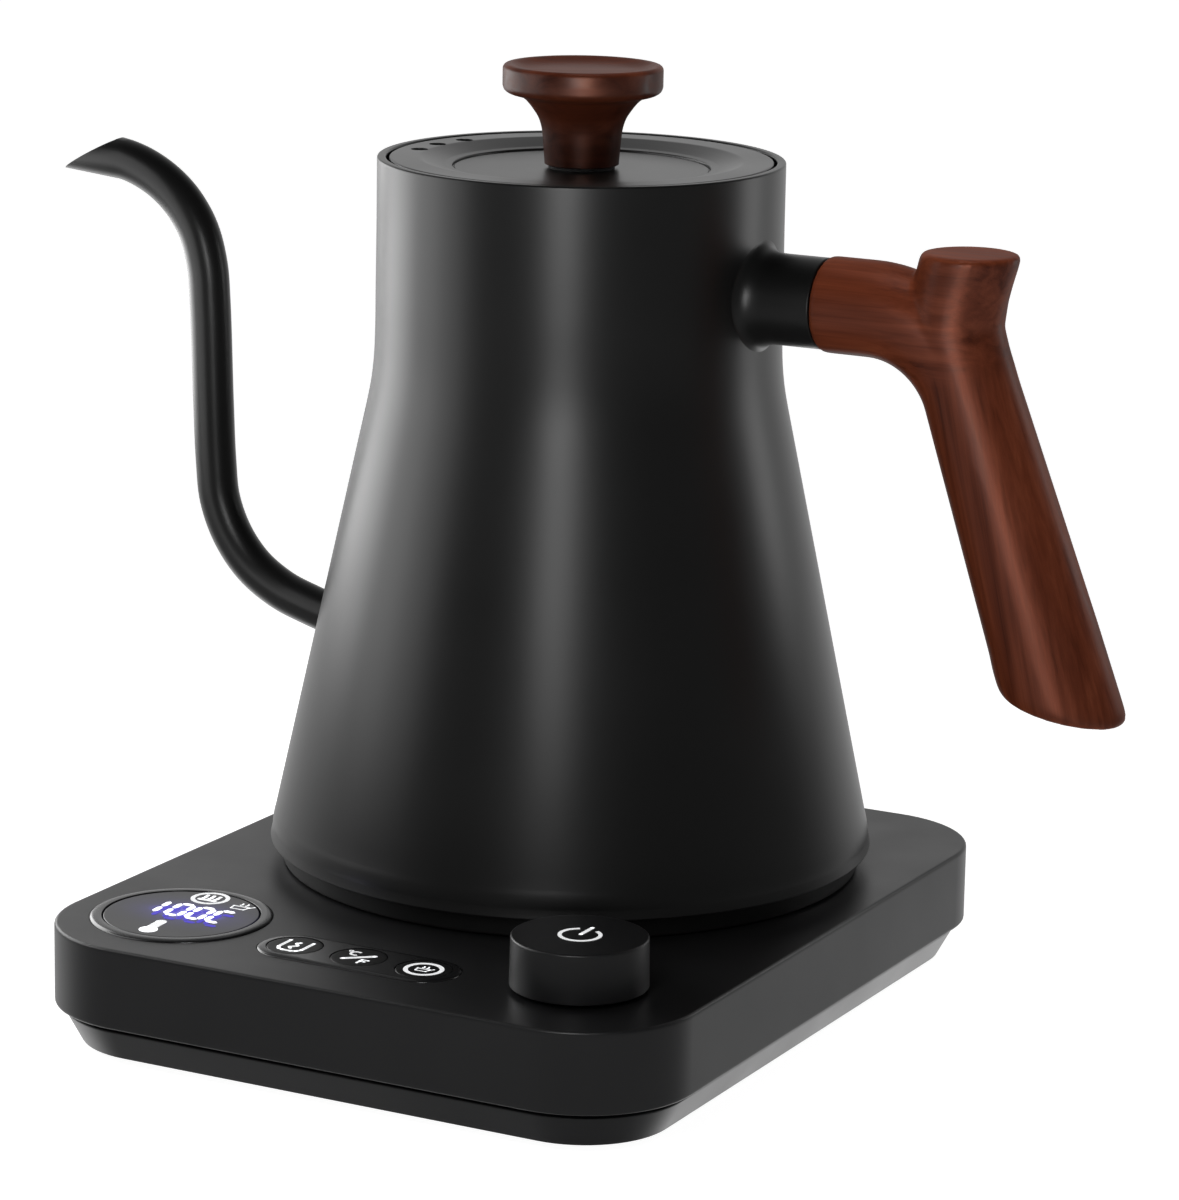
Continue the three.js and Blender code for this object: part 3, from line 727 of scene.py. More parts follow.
def collar():
    """The ferrule: it flares out of the vessel's wall and ends square against the wood."""
    radius, flare, end = 10.2, 13.6, ARM_START - 0.05
    angles = around(96)
    rings = []
    for step in range(15):
        t = step / 14
        reach = radius + (flare - radius) * (1 - t) ** 2.4
        ring = []
        for angle in angles:
            y, up = reach * math.cos(angle), reach * math.sin(angle)
            wall = math.sqrt(NECK_RADIUS ** 2 - y * y)
            ring.append((wall - 0.12 + 6.2 * t ** 1.9, y, ARM_Z + up))
        rings.append(ring)
    neck = [(x, radius) for x in (56.0, end - 0.9, end - 0.5)]
    lip = rounded([(end - 0.5, radius), (end, radius, 0.3), (end, 3.4), (50, 3.4)], closed=False)
    for x, reach in [*neck, *[(p.x, p.y) for p in lip[1:]]]:
        rings.append([(x, reach * math.cos(angle), ARM_Z + reach * math.sin(angle)) for angle in angles])
    piece = make("handle_ferrule", *skin(rings), VESSEL)
    finish(piece, "kettle", "black_metal", COAT, "handle_collar")


def grip_axis(z):
    """X of the leaning grip's axis at a height."""
    return 98.3 + (145.9 - z) * math.tan(LEAN)


def grip_radius(z):
    return GRIP_RADII[0] + (GRIP_RADII[1] - GRIP_RADII[0]) * (148 - z) / 66


def oval(x, z, reach, radius, tilt, sides=72):
    """A section of the handle: reach along its plane, radius along Y, tilted about Y."""
    ring = []
    for angle in around(sides):
        along = reach * math.cos(angle)
        ring.append((x + along * math.cos(tilt), -radius * math.sin(angle), z + along * math.sin(tilt)))
    return ring


ARM_TURN = math.pi / 2 - LEAN
ARM_BEND_X = grip_axis(ARM_Z) - BEND_RADIUS * math.tan(ARM_TURN / 2)
FOOT_TILT = math.radians(-10)
FOOT_Z = 80.5


def arm_form():
    """The level arm and the wide bend that carries it down into the grip."""
    edge = 0.9
    rings = []
    for lift, scale in ((0, 1 - edge / ARM_RADIUS), (0.3 * edge, 1 - 0.3 * edge / ARM_RADIUS), (edge, 1)):
        radius = ARM_RADIUS * scale
        rings.append(oval(ARM_START + lift, ARM_Z, radius, radius, math.pi / 2))
    for i in range(25):
        angle = i / 24 * ARM_TURN
        x = ARM_BEND_X + BEND_RADIUS * math.sin(angle)
        z = ARM_Z - BEND_RADIUS * (1 - math.cos(angle))
        rings.append(oval(x, z, ARM_RADIUS, ARM_RADIUS, math.pi / 2 - angle))
    rings.append(oval(grip_axis(130), 130, ARM_RADIUS, ARM_RADIUS, LEAN))
    return skin(rings)


def limb_form():
    """The short stub above the arm and the long grip below it."""
    stretch = 1 / math.cos(LEAN - FOOT_TILT)
    levels = [
        (96, 179.4, 9.9, 9.9, 0), (95.98, 179.2, 10.5, 10.5, 0), (95.9, 178.5, 10.95, 10.95, 0),
        (95.4, 176.5, 11, 10.8, 0), (94.4, 172.5, 10.85, 10.65, 0), (93.6, 169, 10.8, 10.6, 0),
        (grip_axis(162) + 0.4, 162.5, 10.9, 10.6, LEAN * 0.25),
        (grip_axis(156), 156, *[GRIP_RADII[0]] * 2, LEAN * 0.85),
        (grip_axis(148), 148, *[GRIP_RADII[0]] * 2, LEAN),
    ]
    levels += [(grip_axis(z), z, grip_radius(z), grip_radius(z), LEAN) for z in (137, 126, 115, 104, 96)]
    for lift, scale in ((6, 1), (3, 0.995), (1.6, 0.98), (0.7, 0.94), (0.15, 0.88), (0, 0.80)):
        z = FOOT_Z + lift * math.cos(FOOT_TILT)
        radius = grip_radius(z) * scale
        levels.append((grip_axis(z), z, radius * stretch, radius, FOOT_TILT))
    return skin([oval(*level) for level in levels])


def arm_grain(point):
    """A place in the arm's wood, whose fibres run along the arm."""
    return Vector((point.x, point.z - ARM_Z, point.y))


def grip_grain(point):
    """A place in the grip's wood, whose fibres run down the grip."""
    along = LEAN - math.radians(7)
    down = Vector((math.sin(along), -math.cos(along)))
    out = Vector((math.cos(along), math.sin(along)))
    place = Vector((point.x - grip_axis(ARM_Z), point.z - ARM_Z))
    return Vector((place.dot(down) + 150, place.dot(out) + 40, point.y))


def grip_share(point):
    """How much of the grip's wood shows: none in the arm and stub, all of it down the grip."""
    seam = 150.5 + (point.x - 84) * 0.28
    t = min(1.0, max(0.0, (seam + 3 - point.z) / 7))
    return t * t * (3 - 2 * t)


def store(piece, name, kind, rule):
    """Stores a value for each vertex, found from its place in millimetres."""
    layer = piece.data.attributes.new(name, kind, "POINT")
    for vertex, item in zip(piece.data.vertices, layer.data):
        value = rule(vertex.co / MM)
        if kind == "FLOAT":
            item.value = value
        else:
            item.vector = value


def wooden_handle():
    piece = make("walnut_handle", *merged([arm_form(), limb_form()]), VESSEL)
    remesh = piece.modifiers.new("one_piece", "REMESH")
    remesh.mode = "VOXEL"
    remesh.voxel_size = 0.62 * MM
    blend = piece.modifiers.new("soft_joints", "SMOOTH")
    blend.factor = 0.5
    blend.iterations = 9
    apply_modifiers(piece)
    shade(piece, 180)
    store(piece, "arm_grain", "FLOAT_VECTOR", arm_grain)
    store(piece, "grip_grain", "FLOAT_VECTOR", grip_grain)
    store(piece, "grip_share", "FLOAT", grip_share)
    finish(piece, "kettle", "walnut", WOOD, "wood_handle")
    return piece


# ---------------------------------------------------------------- lid

def lid():
    floor = LID_TOP - 2.15
    plate = lathe(
        "lid_disc",
        [
            (0, floor), (28.7, floor, 0.12), (28.75, floor - 0.35, 0.1), (29.15, floor - 0.35, 0.1),
            (29.2, floor + 0.42, 0.3), (31.0, floor + 0.62, 2.0), (33.8, LID_TOP - 0.75, 3.0),
            (36.6, LID_TOP, 2.5), (43.4, LID_TOP, 0.4), (43.4, 189.2, 0.2), (0, 189.2),
        ],
        VESSEL, 256,
    )
    vents = []
    for degrees in (163, 177.5, 192):
        angle = math.radians(degrees)
        x, y = VESSEL.x + 38.4 * math.cos(angle), VESSEL.y + 38.4 * math.sin(angle)
        vents.append(moved(cylinder(2.0, 186, 195, 40), x, y))
    cut(plate, vents)
    finish(plate, "lid", "black_metal", LID_COAT, "lid_plate")
    turned_piece("lid_cup", "lid", "black_metal", STEEL, "lid_liner", VESSEL, [
        (0, 176), (41, 176, 1.2), (41, 188.9, 0.3), (39.8, 188.9, 0.3), (39.8, 177.4, 1.0),
        (0, 177.4),
    ])
    turned_piece("lid_gasket", "lid_seal", "silicone", SILICONE, "lid_seal", VESSEL, [
        (41.3, 180.5), (43.0, 180.5, 0.4), (43.7, 182, 0.5), (43.0, 183.5, 0.4), (41.3, 183.5),
    ])
    turned_piece("knob_gasket", "lid", "rubber", RUBBER, "knob_washer", VESSEL, [
        (2.3, floor + 0.05), (7.5, floor + 0.05), (7.5, KNOB_LOW - 0.35), (2.3, KNOB_LOW - 0.35),
    ])


def knob():
    neck = curve_through(
        [
            (8.45, KNOB_LOW + 0.5), (8.65, 194.5), (9.1, 198.8), (9.43, 200.2), (10.0, 201.7),
            (10.95, 203.2), (12.0, 204.6), (13.1, 205.75), (14.3, 206.45), (15.6, 206.8),
            (16.9, 207.2), (17.75, 207.85), (18.1, 208.8),
        ],
        0.5,
    )
    disc = rounded(
        [
            (18.1, 208.8), (18.1, KNOB_TOP, 1.1), (16.2, KNOB_TOP, 1.2), (13.6, KNOB_TOP - 1.15, 5.0),
            (0, KNOB_TOP - 1.3),
        ],
        closed=False, support=0.6,
    )
    profile = [(0, KNOB_LOW - 0.5), (8.1, KNOB_LOW - 0.5), (8.4, KNOB_LOW - 0.3), *neck, *disc[1:]]
    piece = make("walnut_knob", *turned(profile, 160), VESSEL)
    fibres = Matrix.Rotation(math.radians(-28), 3, "Z")
    store(piece, "arm_grain", "FLOAT_VECTOR", lambda point: fibres @ point * 0.7 + Vector((310, -12, 4)))
    finish(piece, "lid", "walnut", KNOB_WOOD, "lid_knob")
    return piece


# ---------------------------------------------------------------- power base

def base_ring(inset, z, steps=16):
    """The base's plan outline drawn in by an inset, at a height, about its middle."""
    radius = BASE_RADIUS - inset
    x = BASE_SIZE.x / 2 + 0.3 - inset - radius
    y = BASE_SIZE.y / 2 - inset - radius
    ring = []
    for corner, (cx, cy) in enumerate(((x, y), (-x, y), (-x, -y), (x, -y))):
        for i in range(steps + 1):
            angle = (corner + i / steps) * math.pi / 2
            ring.append((cx + radius * math.cos(angle), cy + radius * math.sin(angle), z))
    return ring


def stadium(length, radius, steps=20):
    """A flat outline with a straight middle and round ends, about the origin."""
    outline = []
    for side, start in ((1, -math.pi / 2), (-1, math.pi / 2)):
        for i in range(steps + 1):
            angle = start + math.pi * i / steps
            outline.append((side * length / 2 + radius * math.cos(angle), radius * math.sin(angle)))
    return outline


def base_shell():
    outside = rounded(
        [(2.5, COVER_LIP), (0, COVER_LIP, 0.6), (0, BASE_TOP, 0.7), (12, BASE_TOP)],
        closed=False, support=0.5,
    )
    rings = [base_ring(p[0], p[1]) for p in outside[1:]]
    top = skin([base_ring(COVER_WALL, COVER_LIP), *rings, base_ring(14, BASE_TOP)])
    hollow = skin([base_ring(COVER_WALL, COVER_LIP - 2), base_ring(COVER_WALL, BASE_TOP - COVER_WALL)])
    piece = make("base_shell", *top, BASE)
    openings = [
        moved(cylinder(DISPLAY_RADIUS + 0.12, 15, 40, 96), DISPLAY.x, DISPLAY.y),
        moved(prism(stadium(2 * BUTTON_PITCH, PANEL_RADIUS + 0.12), 15, 40), PANEL.x, PANEL.y),
        moved(cylinder(4, 15, 40), DIAL.x, DIAL.y),
        moved(cylinder(10.8, 15, 40), VESSEL.x, VESSEL.y),
    ]
    bush = centre("cord_bush")
    bush_z = (low("cord_bush").z + high("cord_bush").z) / 2
    upright, faces = cylinder(5.3, -8, 12)
    lead_hole = [(x + bush.x, bush.y + z, bush_z - y) for x, y, z in upright], faces
    cut(piece, [moved(hollow, *BASE), *openings, lead_hole])
    finish(piece, "base", "base_plastic", PLASTIC, "base_cover")


def tray():
    """The pan under the cover: its wall slants in from a shadow gap to a tight lower edge."""
    gap, wall_foot, top = 3.2, 6.0, 12.3
    wall = rounded(
        [
            (gap, COVER_LIP + 0.1), (gap, 9.5, 0.2), (2.1, 9.2, 0.3),
            (wall_foot, TRAY_BOTTOM, 0.3), (20, TRAY_BOTTOM),
        ],
        closed=False,
    )
    rings = [base_ring(5.6, top), base_ring(gap, top), *[base_ring(p.x, p.y) for p in wall]]
    hollow = skin([base_ring(8.2, 4), base_ring(5.9, 8.8), base_ring(5.6, 14)])
    piece = make("base_pan", *skin(rings), BASE)
    spots = [centre(f"tray_screw_{corner}") for corner in CORNERS]
    sinks = [moved(cylinder(3.5, 0, 3.2, 40), spot.x, spot.y) for spot in spots]
    cut(piece, [moved(hollow, *BASE), *sinks])
    finish(piece, "base", "dark_plastic", PLASTIC, "base_tray")


def feet():
    for corner in CORNERS:
        node = f"foot_{corner}"
        turned_piece(f"rubber_{node}", "base", "rubber", RUBBER, node, centre(node), [
            (0, 0), (7, 0, 0.5), (7, 1.9, 0.3), (0, 1.9),
        ], 64)


def soft_edge(radius, top, width, drop, steps=8):
    """Profile points of an edge that rolls over from a flat top to an upright side."""
    turns = [math.pi / 2 * i / steps for i in range(steps + 1)]
    return [(radius - width + width * math.sin(t), top - drop * (1 - math.cos(t))) for t in turns]


def bezel():
    """The display's surround and window. Gives back the height of the window's face."""
    top = high("display_bezel").z
    face = top - 0.12
    turned_piece("display_surround", "base", "base_plastic", TRIM, "display_bezel", DISPLAY, [
        (LENS_RADIUS + 0.2, 27), (LENS_RADIUS + 0.2, top, 0.15),
        *soft_edge(DISPLAY_RADIUS, top, 1.6, top - BASE_TOP + 0.1),
        (DISPLAY_RADIUS, 26.3), (22.4, 26.3), (22.4, 25), (LENS_RADIUS + 0.2, 25),
    ])
    turned_piece("display_window", "base", "lens", LENS, "display_lens", DISPLAY, [
        (0, 27.3), (LENS_RADIUS - 0.15, 27.3), (LENS_RADIUS - 0.15, face, 0.25), (0, face),
    ])
    return face


def button_surround():
    top = high("button_panel").z
    edge = [(PANEL_RADIUS, 25.5), *soft_edge(PANEL_RADIUS, top, 1.7, top - BASE_TOP + 0.1)[::-1]]
    rings = []
    for radius, z in [*edge, (PANEL_RADIUS - 2.2, top)]:
        rings.append([(x, y, z) for x, y in stadium(2 * BUTTON_PITCH, radius, 28)])
    piece = make("button_surround", *skin(rings), PANEL)
    hole = cylinder(BUTTON_RADIUS + 0.18, 20, 40, 96)
    cut(piece, [moved(hole, PANEL.x + step * BUTTON_PITCH, PANEL.y) for step in (-1, 0, 1)])
    finish(piece, "base", "base_plastic", TRIM, "button_panel")


def buttons():
    for side in ("left", "middle", "right"):
        node = f"button_{side}"
        top = high(node).z
        turned_piece(f"push_{node}", node, "base_plastic", BUTTON_PLASTIC, node, centre(node), [
            (0, 22.9), (1.8, 22.9, 0.2), (1.8, 23.6), (7, 23.6), (7, 24.6), (BUTTON_RADIUS, 24.6),
            (BUTTON_RADIUS, top - 0.12, 0.25), (BUTTON_RADIUS - 0.9, top - 0.12, 0.6),
            (0, top - 0.16),
        ], 96)


def dial():
    top, bottom = high("control_dial").z, low("control_dial").z
    turned_piece("control_knob", "dial", "base_plastic", PLASTIC, "control_dial", DIAL, [
        (0, top), (DIAL_RADIUS - 0.2, top, 0.5), (DIAL_RADIUS, bottom, 0.25), (13.6, bottom, 0.2),
        (13.6, 38.4), (5, 38.4), (5, 31), (3.35, 31), (3.35, 37.6), (0, 37.6),
    ])


def underside():
    """The dark moulding under the vessel, whose rim is the foot it stands on."""
    ring, ring_top = 66.85, HEM_LOW + 0.2
    cover = lathe(
        "vessel_foot",
        [
            (15.4, 31.2, 0.3), (63.5, 31.2, 0.5), (65.2, 29.1, 0.4), (ring, 29.1, 0.5),
            (ring, ring_top), (65.9, ring_top), (65.9, 37), (64.2, 37), (64.2, 33.4),
            (15.4, 33.4, 0.3),
        ],
        VESSEL,
    )
    spots = [centre(f"bottom_screw_{number}") for number in (1, 2, 3)]
    cut(cover, [moved(cylinder(3.3, 25, 33.15, 32), spot.x, spot.y) for spot in spots])
    finish(cover, "kettle", "dark_plastic", DARK_PLASTIC, "bottom_cover")


def connector():
    turned_piece("connector_cup", "base", "dark_plastic", DARK_PLASTIC, "connector_tower", VESSEL, [
        (0, 24), (16, 24), (16, 26.3), (10.5, 26.3), (10.5, 40.6, 0.6), (9.2, 40.6, 0.3),
        (9.2, 29, 0.3), (0, 29),
    ], 96)
    for side, inner, outer in (("outer", 7.2, 8.2), ("inner", 4.2, 5.2)):
        node = f"connector_{side}_ring"
        turned_piece(f"contact_ring_{side}", "base", "brass", BRASS, node, VESSEL, [
            (inner, 29.3), (outer, 29.3), (outer, 40, 0.3), (inner, 40, 0.3),
        ], 96)
    turned_piece("contact_pin", "base", "brass", BRASS, "connector_pin", VESSEL, [
        (0, 29.3), (1.8, 29.3), (1.8, 39.6, 0.8), (0, 39.6),
    ], 48)
    turned_piece("socket_cup", "kettle", "dark_plastic", DARK_PLASTIC, "socket_housing", VESSEL, [
        (0, 48), (15, 48, 0.5), (15, 31.2, 0.3), (11.2, 31.2, 0.8), (11.2, 45, 0.4), (0, 45),
    ], 96)


# ---------------------------------------------------------------- printed marks

def stroke(points, width, steps=8):
    """Outlines of a pen stroke along points: a bar for each run and a disc at each point."""
    outlines = []
    half = width / 2
    knots = [Vector(p) for p in points]
    for a, b in zip(knots, knots[1:]):
        side = Vector((-(b - a).y, (b - a).x)).normalized() * half
        outlines.append([a - side, b - side, b + side, a + side])
    for knot in knots:
        outlines.append([knot + Vector((math.cos(t), math.sin(t))) * half for t in around(2 * steps)])
    return outlines


def band(radius, width, start=0.0, sweep=360.0, steps=64):
    """The outlines of a round band, as short bars that share their ends."""
    inner, outer = radius - width / 2, radius + width / 2
    outlines = []
    for i in range(steps):
        a, b = [math.radians(start + sweep * k / steps) for k in (i, i + 1)]
        corners = [(inner, a), (outer, a), (outer, b), (inner, b)]
        outlines.append([Vector((r * math.cos(t), r * math.sin(t))) for r, t in corners])
    return outlines


def shifted(outlines, x, y):
    return [[p + Vector((x, y)) for p in outline] for outline in outlines]


def mark(name, outlines, origin, z, body, slot="base_plastic", offset=(0, 0), material=PRINT_WHITE):
    """Thin printed shapes on a flat top."""
    forms = [prism(outline, 0, PRINT) for outline in shifted(outlines, *offset)]
    piece = make(name, *merged(forms), (origin.x, origin.y, z))
    finish(piece, body, slot, material)


def pot_strokes(size, width):
    """A little pot with a spout and rising steam, about its middle."""
    bowl = [(-0.42, 0.05), (-0.36, -0.34), (0.30, -0.34), (0.38, 0.05), (-0.42, 0.05)]
    beak = [(0.36, -0.05), (0.56, 0.22)]
    steam = [[(x, 0.20), (x + 0.06, 0.32), (x, 0.46)] for x in (-0.18, 0.10)]
    outlines = []
    for line in (bowl, beak, *steam):
        outlines += stroke([(x * size, y * size) for x, y in line], width)
    return outlines


def segment(start, end, pen):
    """One bar of a seven-segment digit, with pointed ends."""
    a, b = Vector(start), Vector(end)
    along = (b - a).normalized() * pen / 2
    side = Vector((-along.y, along.x))
    return [a, a + along - side, b - along - side, b, b - along + side, a + along + side]


def seven_segment(character, left, bottom, width, height, pen):
    """The lit bars of one seven-segment character."""
    right, top, middle = left + width, bottom + height, bottom + height / 2
    gap = 0.22
    bars = {
        "a": [(left + gap, top), (right - gap, top)],
        "b": [(right, middle + gap), (right, top - gap)],
        "c": [(right, bottom + gap), (right, middle - gap)],
        "d": [(left + gap, bottom), (right - gap, bottom)],
        "e": [(left, bottom + gap), (left, middle - gap)],
        "f": [(left, middle + gap), (left, top - gap)],
    }
    lit = {"1": "ef", "0": "abcdef", "C": "adef"}[character]
    return [segment(*bars[bar], pen) for bar in lit]


def display_marks(z):
    pen, width, height, bottom, slant = 1.3, 3.55, 8.3, -1.6, 0.06
    digits = []
    for left, character in zip((-6.6, -3.7, 1.65, 7.0), "100C"):
        digits += seven_segment(character, left, bottom, width, height, pen)
    lean = [[Vector((p.x - slant * p.y, p.y)) for p in outline] for outline in digits]
    mark("digit_shadow", lean, DISPLAY, z - PRINT * 0.4, "base", "lens", (1.3, -2.5), LED_BLUE)
    mark("digits", lean, DISPLAY, z, "base", "lens", material=LED_WHITE)
    heat = band(3.95, 1.0) + stroke([(-1.9, -1.4), (1.9, -1.4)], 1.2)
    for x in (-1.5, 0.0, 1.5):
        heat += stroke([(x, -0.9), (x * 1.05 + 0.15, 0.4), (x * 1.1 - 0.1, 1.9)], 0.85)
    mark("heat_icon", heat, DISPLAY, z, "base", "lens", (-0.8, 13.3))
    mark("pot_icon", pot_strokes(5.0, 0.42), DISPLAY, z, "base", "lens", (8.7, 11.3))
    probe = stroke([(-0.6, 3.2), (-0.2, -2.0)], 2.5) + stroke([(-0.1, -2.9), (0.1, -3.1)], 4.2, 16)
    mark("thermometer_icon", probe, DISPLAY, z, "base", "lens", (0.0, -10.4))


def button_marks():
    z = high("button_left").z - 0.155
    cup = stroke(
        [
            (-2.9, 3.3), (-2.9, -2.0), (-2.2, -3.2), (-1.0, -3.6),
            (1.0, -3.6), (2.2, -3.2), (2.9, -2.0), (2.9, 3.3),
        ],
        0.85,
    )
    cup += stroke([(0, -1.9), (-0.7, -1.1), (0.6, 0.3), (-0.5, 1.6), (0.2, 2.4)], 0.75)
    slash = stroke([(-2.8, -2.3), (2.8, 2.3)], 1.05)
    slash += shifted(band(1.15, 0.6, 50, 260, 24), -1.9, 2.1)
    slash += shifted(band(0.42, 0.32, 0, 360, 16), -3.7, 3.2)
    for line in ([(1.5, -1.1), (1.5, -3.5)], [(1.5, -1.1), (3.1, -1.1)], [(1.5, -2.2), (2.7, -2.2)]):
        slash += stroke(line, 0.6)
    ringed_pot = band(3.95, 1.0) + pot_strokes(3.8, 0.36)
    icons = {"left": ("keep", cup), "middle": ("unit", slash), "right": ("boil", ringed_pot)}
    for side, (name, outlines) in icons.items():
        mark(f"{name}_icon", outlines, centre(f"button_{side}"), z, f"button_{side}")


def dial_mark():
    power = band(4.35, 0.86, 118, 304, 72) + stroke([(0, 5.7), (0, 0.3)], 0.92)
    mark("power_icon", power, DIAL, high("control_dial").z, "dial")


# ---------------------------------------------------------------- carried-over CAD nodes

def dress_cad_nodes():
    """Materials for the CAD nodes that stay as they are."""
    looks = {
        STEEL: [
            "switch_left", "switch_middle", "switch_right", "encoder_housing", "encoder_plunger",
            "dial_shaft", "handle_stud", "heater_plate", "heating_element", "temperature_probe",
            "knob_screw",
            *[f"bottom_screw_{number}" for number in (1, 2, 3)],
            *[f"tray_screw_{corner}" for corner in CORNERS],
        ],
        BRASS: ["handle_insert", "socket_outer_contact", "socket_pin_contact"],
        DARK_PLASTIC: ["display_module", "buzzer", "capacitor", "connector_shutter", "thermal_cutout"],
        BOARD: ["control_board", "power_board"],
        RELAY: ["relay"],
        RUBBER: ["cord_bush"],
        SILICONE: ["probe_seal"],
    }
    for material, names in looks.items():
        for name in names:
            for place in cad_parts[name].material_slots:
                place.material = material


# ---------------------------------------------------------------- camera, floor and light

AZIMUTH, ELEVATION, ROLL = [math.radians(degrees) for degrees in (27.72, 13.29, 1.01)]
CAMERA_X, CAMERA_Y, CAMERA_Z = 496.68, -937.68, 340.65  # from the vessel's axis on the worktop
SENSOR_WIDTH, LENS_LENGTH = 36, 141.89


def camera():
    """The viewing angle: a long lens in front, to the right and a little above."""
    data = bpy.data.cameras.new("camera")
    data.sensor_width = SENSOR_WIDTH
    data.lens = LENS_LENGTH
    data.clip_end = 100
    back = Vector((
        math.sin(AZIMUTH) * math.cos(ELEVATION),
        -math.cos(AZIMUTH) * math.cos(ELEVATION),
        math.sin(ELEVATION),
    ))
    right = (-back).cross(Vector((0, 0, 1))).normalized()
    up = back.cross(right)
    turned_right = right * math.cos(ROLL) + up * math.sin(ROLL)
    turned_up = up * math.cos(ROLL) - right * math.sin(ROLL)
    place = Vector((VESSEL.x + CAMERA_X, VESSEL.y + CAMERA_Y, CAMERA_Z)) * MM
    axes = Matrix((turned_right, turned_up, back)).transposed().to_4x4()
    view = bpy.data.objects.new("camera", data)
    view.matrix_world = Matrix.Translation(place) @ axes
    bpy.context.scene.collection.objects.link(view)
    bpy.context.scene.camera = view


def softbox(name, place, facing, bottom, top, width, radiance):
    """An upright soft light. Place is its X and Y from the vessel's axis, in metres.

    Facing is where it lies as seen from what it lights: 0 is in front, 90 to the right.
    """
    angle = math.radians(facing)
    outward = Vector((math.sin(angle), -math.cos(angle), 0))
    data = bpy.data.lights.new(name, "AREA")
    data.shape = "RECTANGLE"
    data.size, data.size_y = width, top - bottom
    data.energy = radiance * width * (top - bottom) * math.pi
    light = bpy.data.objects.new(name, data)
    light.location = (VESSEL.x * MM + place[0], VESSEL.y * MM + place[1], (bottom + top) / 2)
    light.rotation_mode = "QUATERNION"
    light.rotation_quaternion = outward.to_track_quat("Z", "Y")
    light.visible_camera = False
    bpy.context.scene.collection.objects.link(light)
    return light


# The surround's tones, as (place, tone) stops. Places go from 0 to 1: from in front to behind in
# plan, or from straight down to straight up.
BEHIND = Vector((-0.55, 0.835))  # plan direction of the bright side of the surround
WORLD_STRENGTH = 2.0
AROUND = [(0.0, 0.045), (0.42, 0.045), (0.50, 0.03), (0.66, 0.11), (0.80, 0.29), (0.90, 0.34), (1.0, 0.42)]
BELT = [(0.0, 0.1), (0.09, 0.1), (0.18, 1.0), (0.62, 1.0), (0.72, 0.55), (1.0, 0.42)]
BELOW = [(0.0, 0.04), (0.1, 0.05), (0.2, 0.10), (0.36, 0.075), (0.42, 0.0)]
FLOOR_GLOW = [(0.0, 0.30), (0.10, 0.45), (0.25, 0.45), (0.34, 0.0)]
FLOOR_SIDE = [(0.64, 0.0), (0.78, 1.0)]


def studio_world():
    """A soft surround: brighter overhead and behind, dark in front between the softboxes."""
    world = bpy.data.worlds.new("studio")
    world.use_nodes = True
    world.node_tree.nodes.clear()
    n = Tree(world.node_tree)
    direction = n.add("ShaderNodeTexCoord").outputs["Generated"]
    parts = n.add("ShaderNodeSeparateXYZ", {"Vector": direction}).outputs

    def tones(value, stops):
        return n.ramp(value, [(place, grey(tone)) for place, tone in stops], "EASE")

    def placed(value):
        """A value from -1 to 1 carried to the range from 0 to 1."""
        return n.maths("ADD", n.maths("MULTIPLY", value, 0.5), 0.5)

    along_x = n.maths("MULTIPLY", parts["X"], BEHIND.x)
    along_y = n.maths("MULTIPLY", parts["Y"], BEHIND.y)
    behind = placed(n.maths("ADD", along_x, along_y))
    height = placed(parts["Z"])
    total = n.maths("MULTIPLY", tones(behind, AROUND), tones(height, BELT))
    total = n.maths("ADD", total, tones(height, BELOW))
    glow = n.maths("MULTIPLY", tones(behind, FLOOR_SIDE), tones(height, FLOOR_GLOW))
    total = n.maths("ADD", total, glow)
    background = n.add("ShaderNodeBackground", {"Color": total, "Strength": WORLD_STRENGTH})
    n.add("ShaderNodeOutputWorld", {"Surface": background.outputs[0]})
    bpy.context.scene.world = world
    world.cycles_visibility.camera = False


FLOOR_REACH = 9000
FLOOR_TOP = -0.05
DOME_RADIUS = 9500


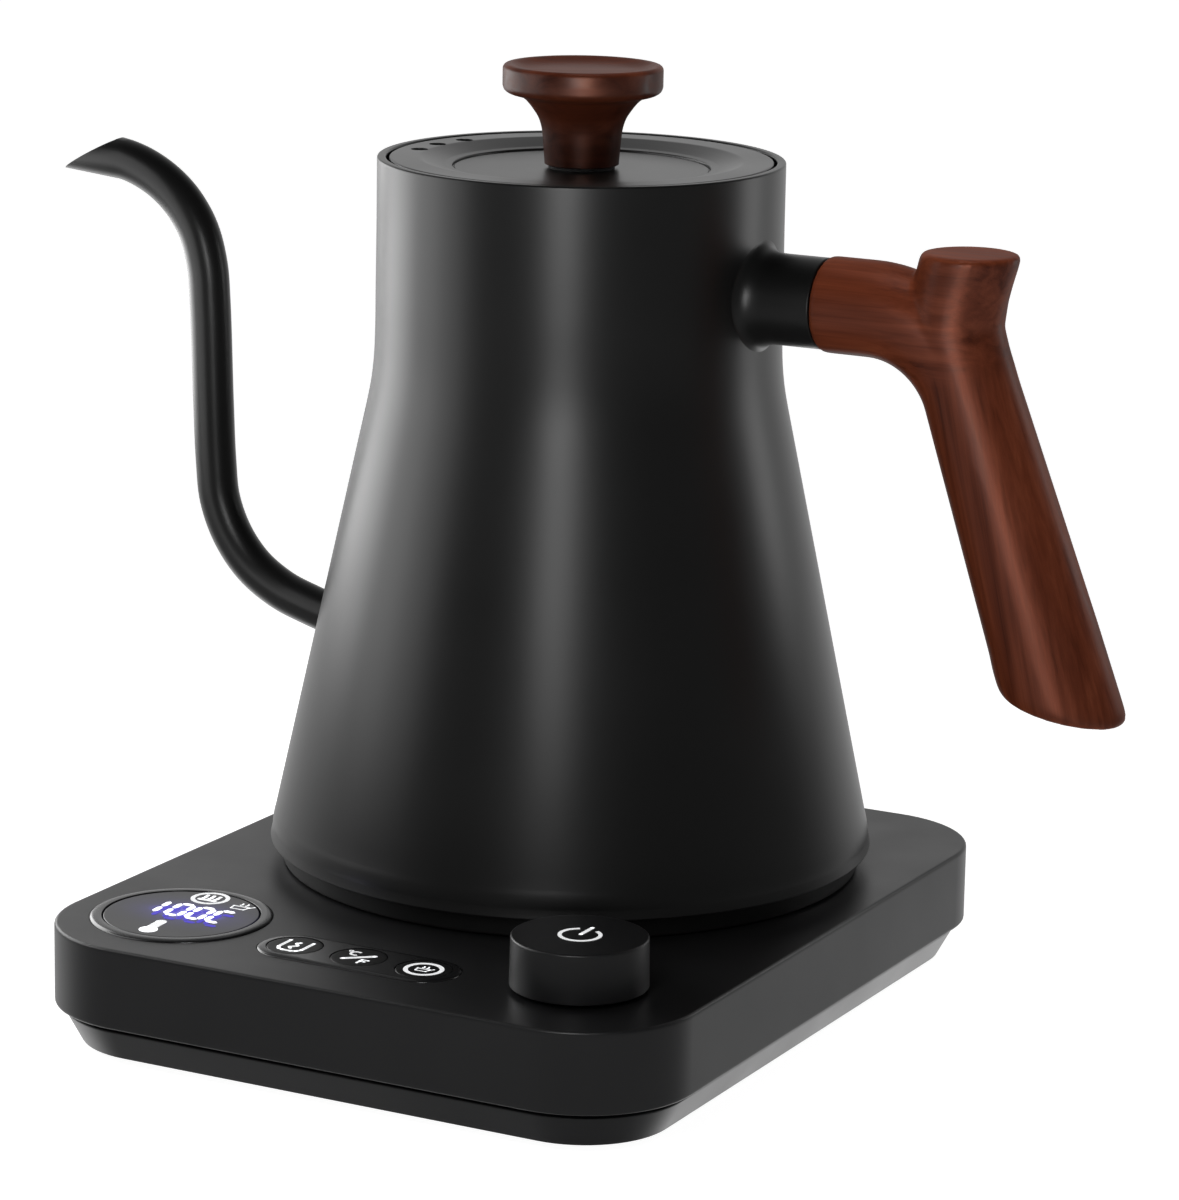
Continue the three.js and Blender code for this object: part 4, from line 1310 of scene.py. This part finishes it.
def stage():
    """A wide white floor, and a white surround behind everything that only the camera sees."""
    def plain(name, tone, glow):
        n = Nodes(name)
        patch = n.noise(n.object_point(), 3.0, 2.0)
        n.shade(
            Base_Color=n.tone(patch, grey(tone * 0.995), grey(tone)),
            Roughness=n.span(patch, 0.85, 0.9),
            Specular_IOR_Level=0.0,
            Emission_Color=(1, 1, 1, 1),
            Emission_Strength=glow,
        )
        return n.material

    square = [(x * FLOOR_REACH, y * FLOOR_REACH) for x, y in ((-1, -1), (1, -1), (1, 1), (-1, 1))]
    floor = make("floor", *prism(square, -20, FLOOR_TOP))
    floor.data.materials.append(plain("floor_white", 0.5, 0.96))
    floor.visible_glossy = False
    floor.visible_shadow = False
    angles = [math.radians(degrees) for degrees in range(-80, 90, 10)]
    arc = [(DOME_RADIUS * math.cos(a), DOME_RADIUS * math.sin(a)) for a in angles]
    dome = make("surround", *turned([(0, -9000), *arc, (0, DOME_RADIUS)], 48))
    dome.data.materials.append(plain("surround_white", 0.9, 1.1))
    dome.visible_glossy = False
    dome.visible_diffuse = False
    dome.visible_shadow = False
    dome.visible_transmission = False


def lights():
    softbox("left_softbox", (-0.32, 0.035), -90, 0.075, 0.26, 0.25, 3.75)
    softbox("left_softbox_front", (-0.32, -0.165), -90, 0.075, 0.26, 0.15, 1.35)
    softbox("spout_softbox", (-0.182, -0.158), -42.2, 0.07, 0.33, 0.13, 1.4)
    softbox("front_strip_low", (0.0895, -0.2525), 19.5, 0.10, 0.16, 0.062, 3.6)
    softbox("front_strip_high", (0.0895, -0.2525), 19.5, 0.16, 0.245, 0.062, 7.2)
    softbox("right_strip", (0.226, 0.197), 131, 0.10, 0.25, 0.07, 2.6)
    sheen = softbox("wood_sheen", (0.145, -0.25), 18, 0.04, 0.28, 0.075, 15.0)
    sheen.data.color = (1.0, 0.52, 0.36)
    sheen.visible_diffuse = False
    above = softbox("wood_above", (0.05, 0.0), 0, 0.55, 0.85, 0.3, 13.0)
    above.location.z = 0.75
    above.rotation_quaternion = (1, 0, 0, 0)
    above.visible_glossy = False
    only_wood = bpy.data.collections.new("only_wood")
    for piece in WOOD_PIECES:
        only_wood.objects.link(piece)
    for light in (sheen, above):
        light.light_linking.receiver_collection = only_wood


# ---------------------------------------------------------------- the scene

camera()
vessel()
spout()
collar()
WOOD_PIECES = [wooden_handle(), knob()]
lid()
base_shell()
tray()
feet()
LENS_TOP = bezel()
button_surround()
buttons()
dial()
underside()
connector()
display_marks(LENS_TOP)
button_marks()
dial_mark()
dress_cad_nodes()
stage()
lights()
studio_world()

view = bpy.context.scene.view_settings
view.view_transform = "Standard"
view.look = "None"
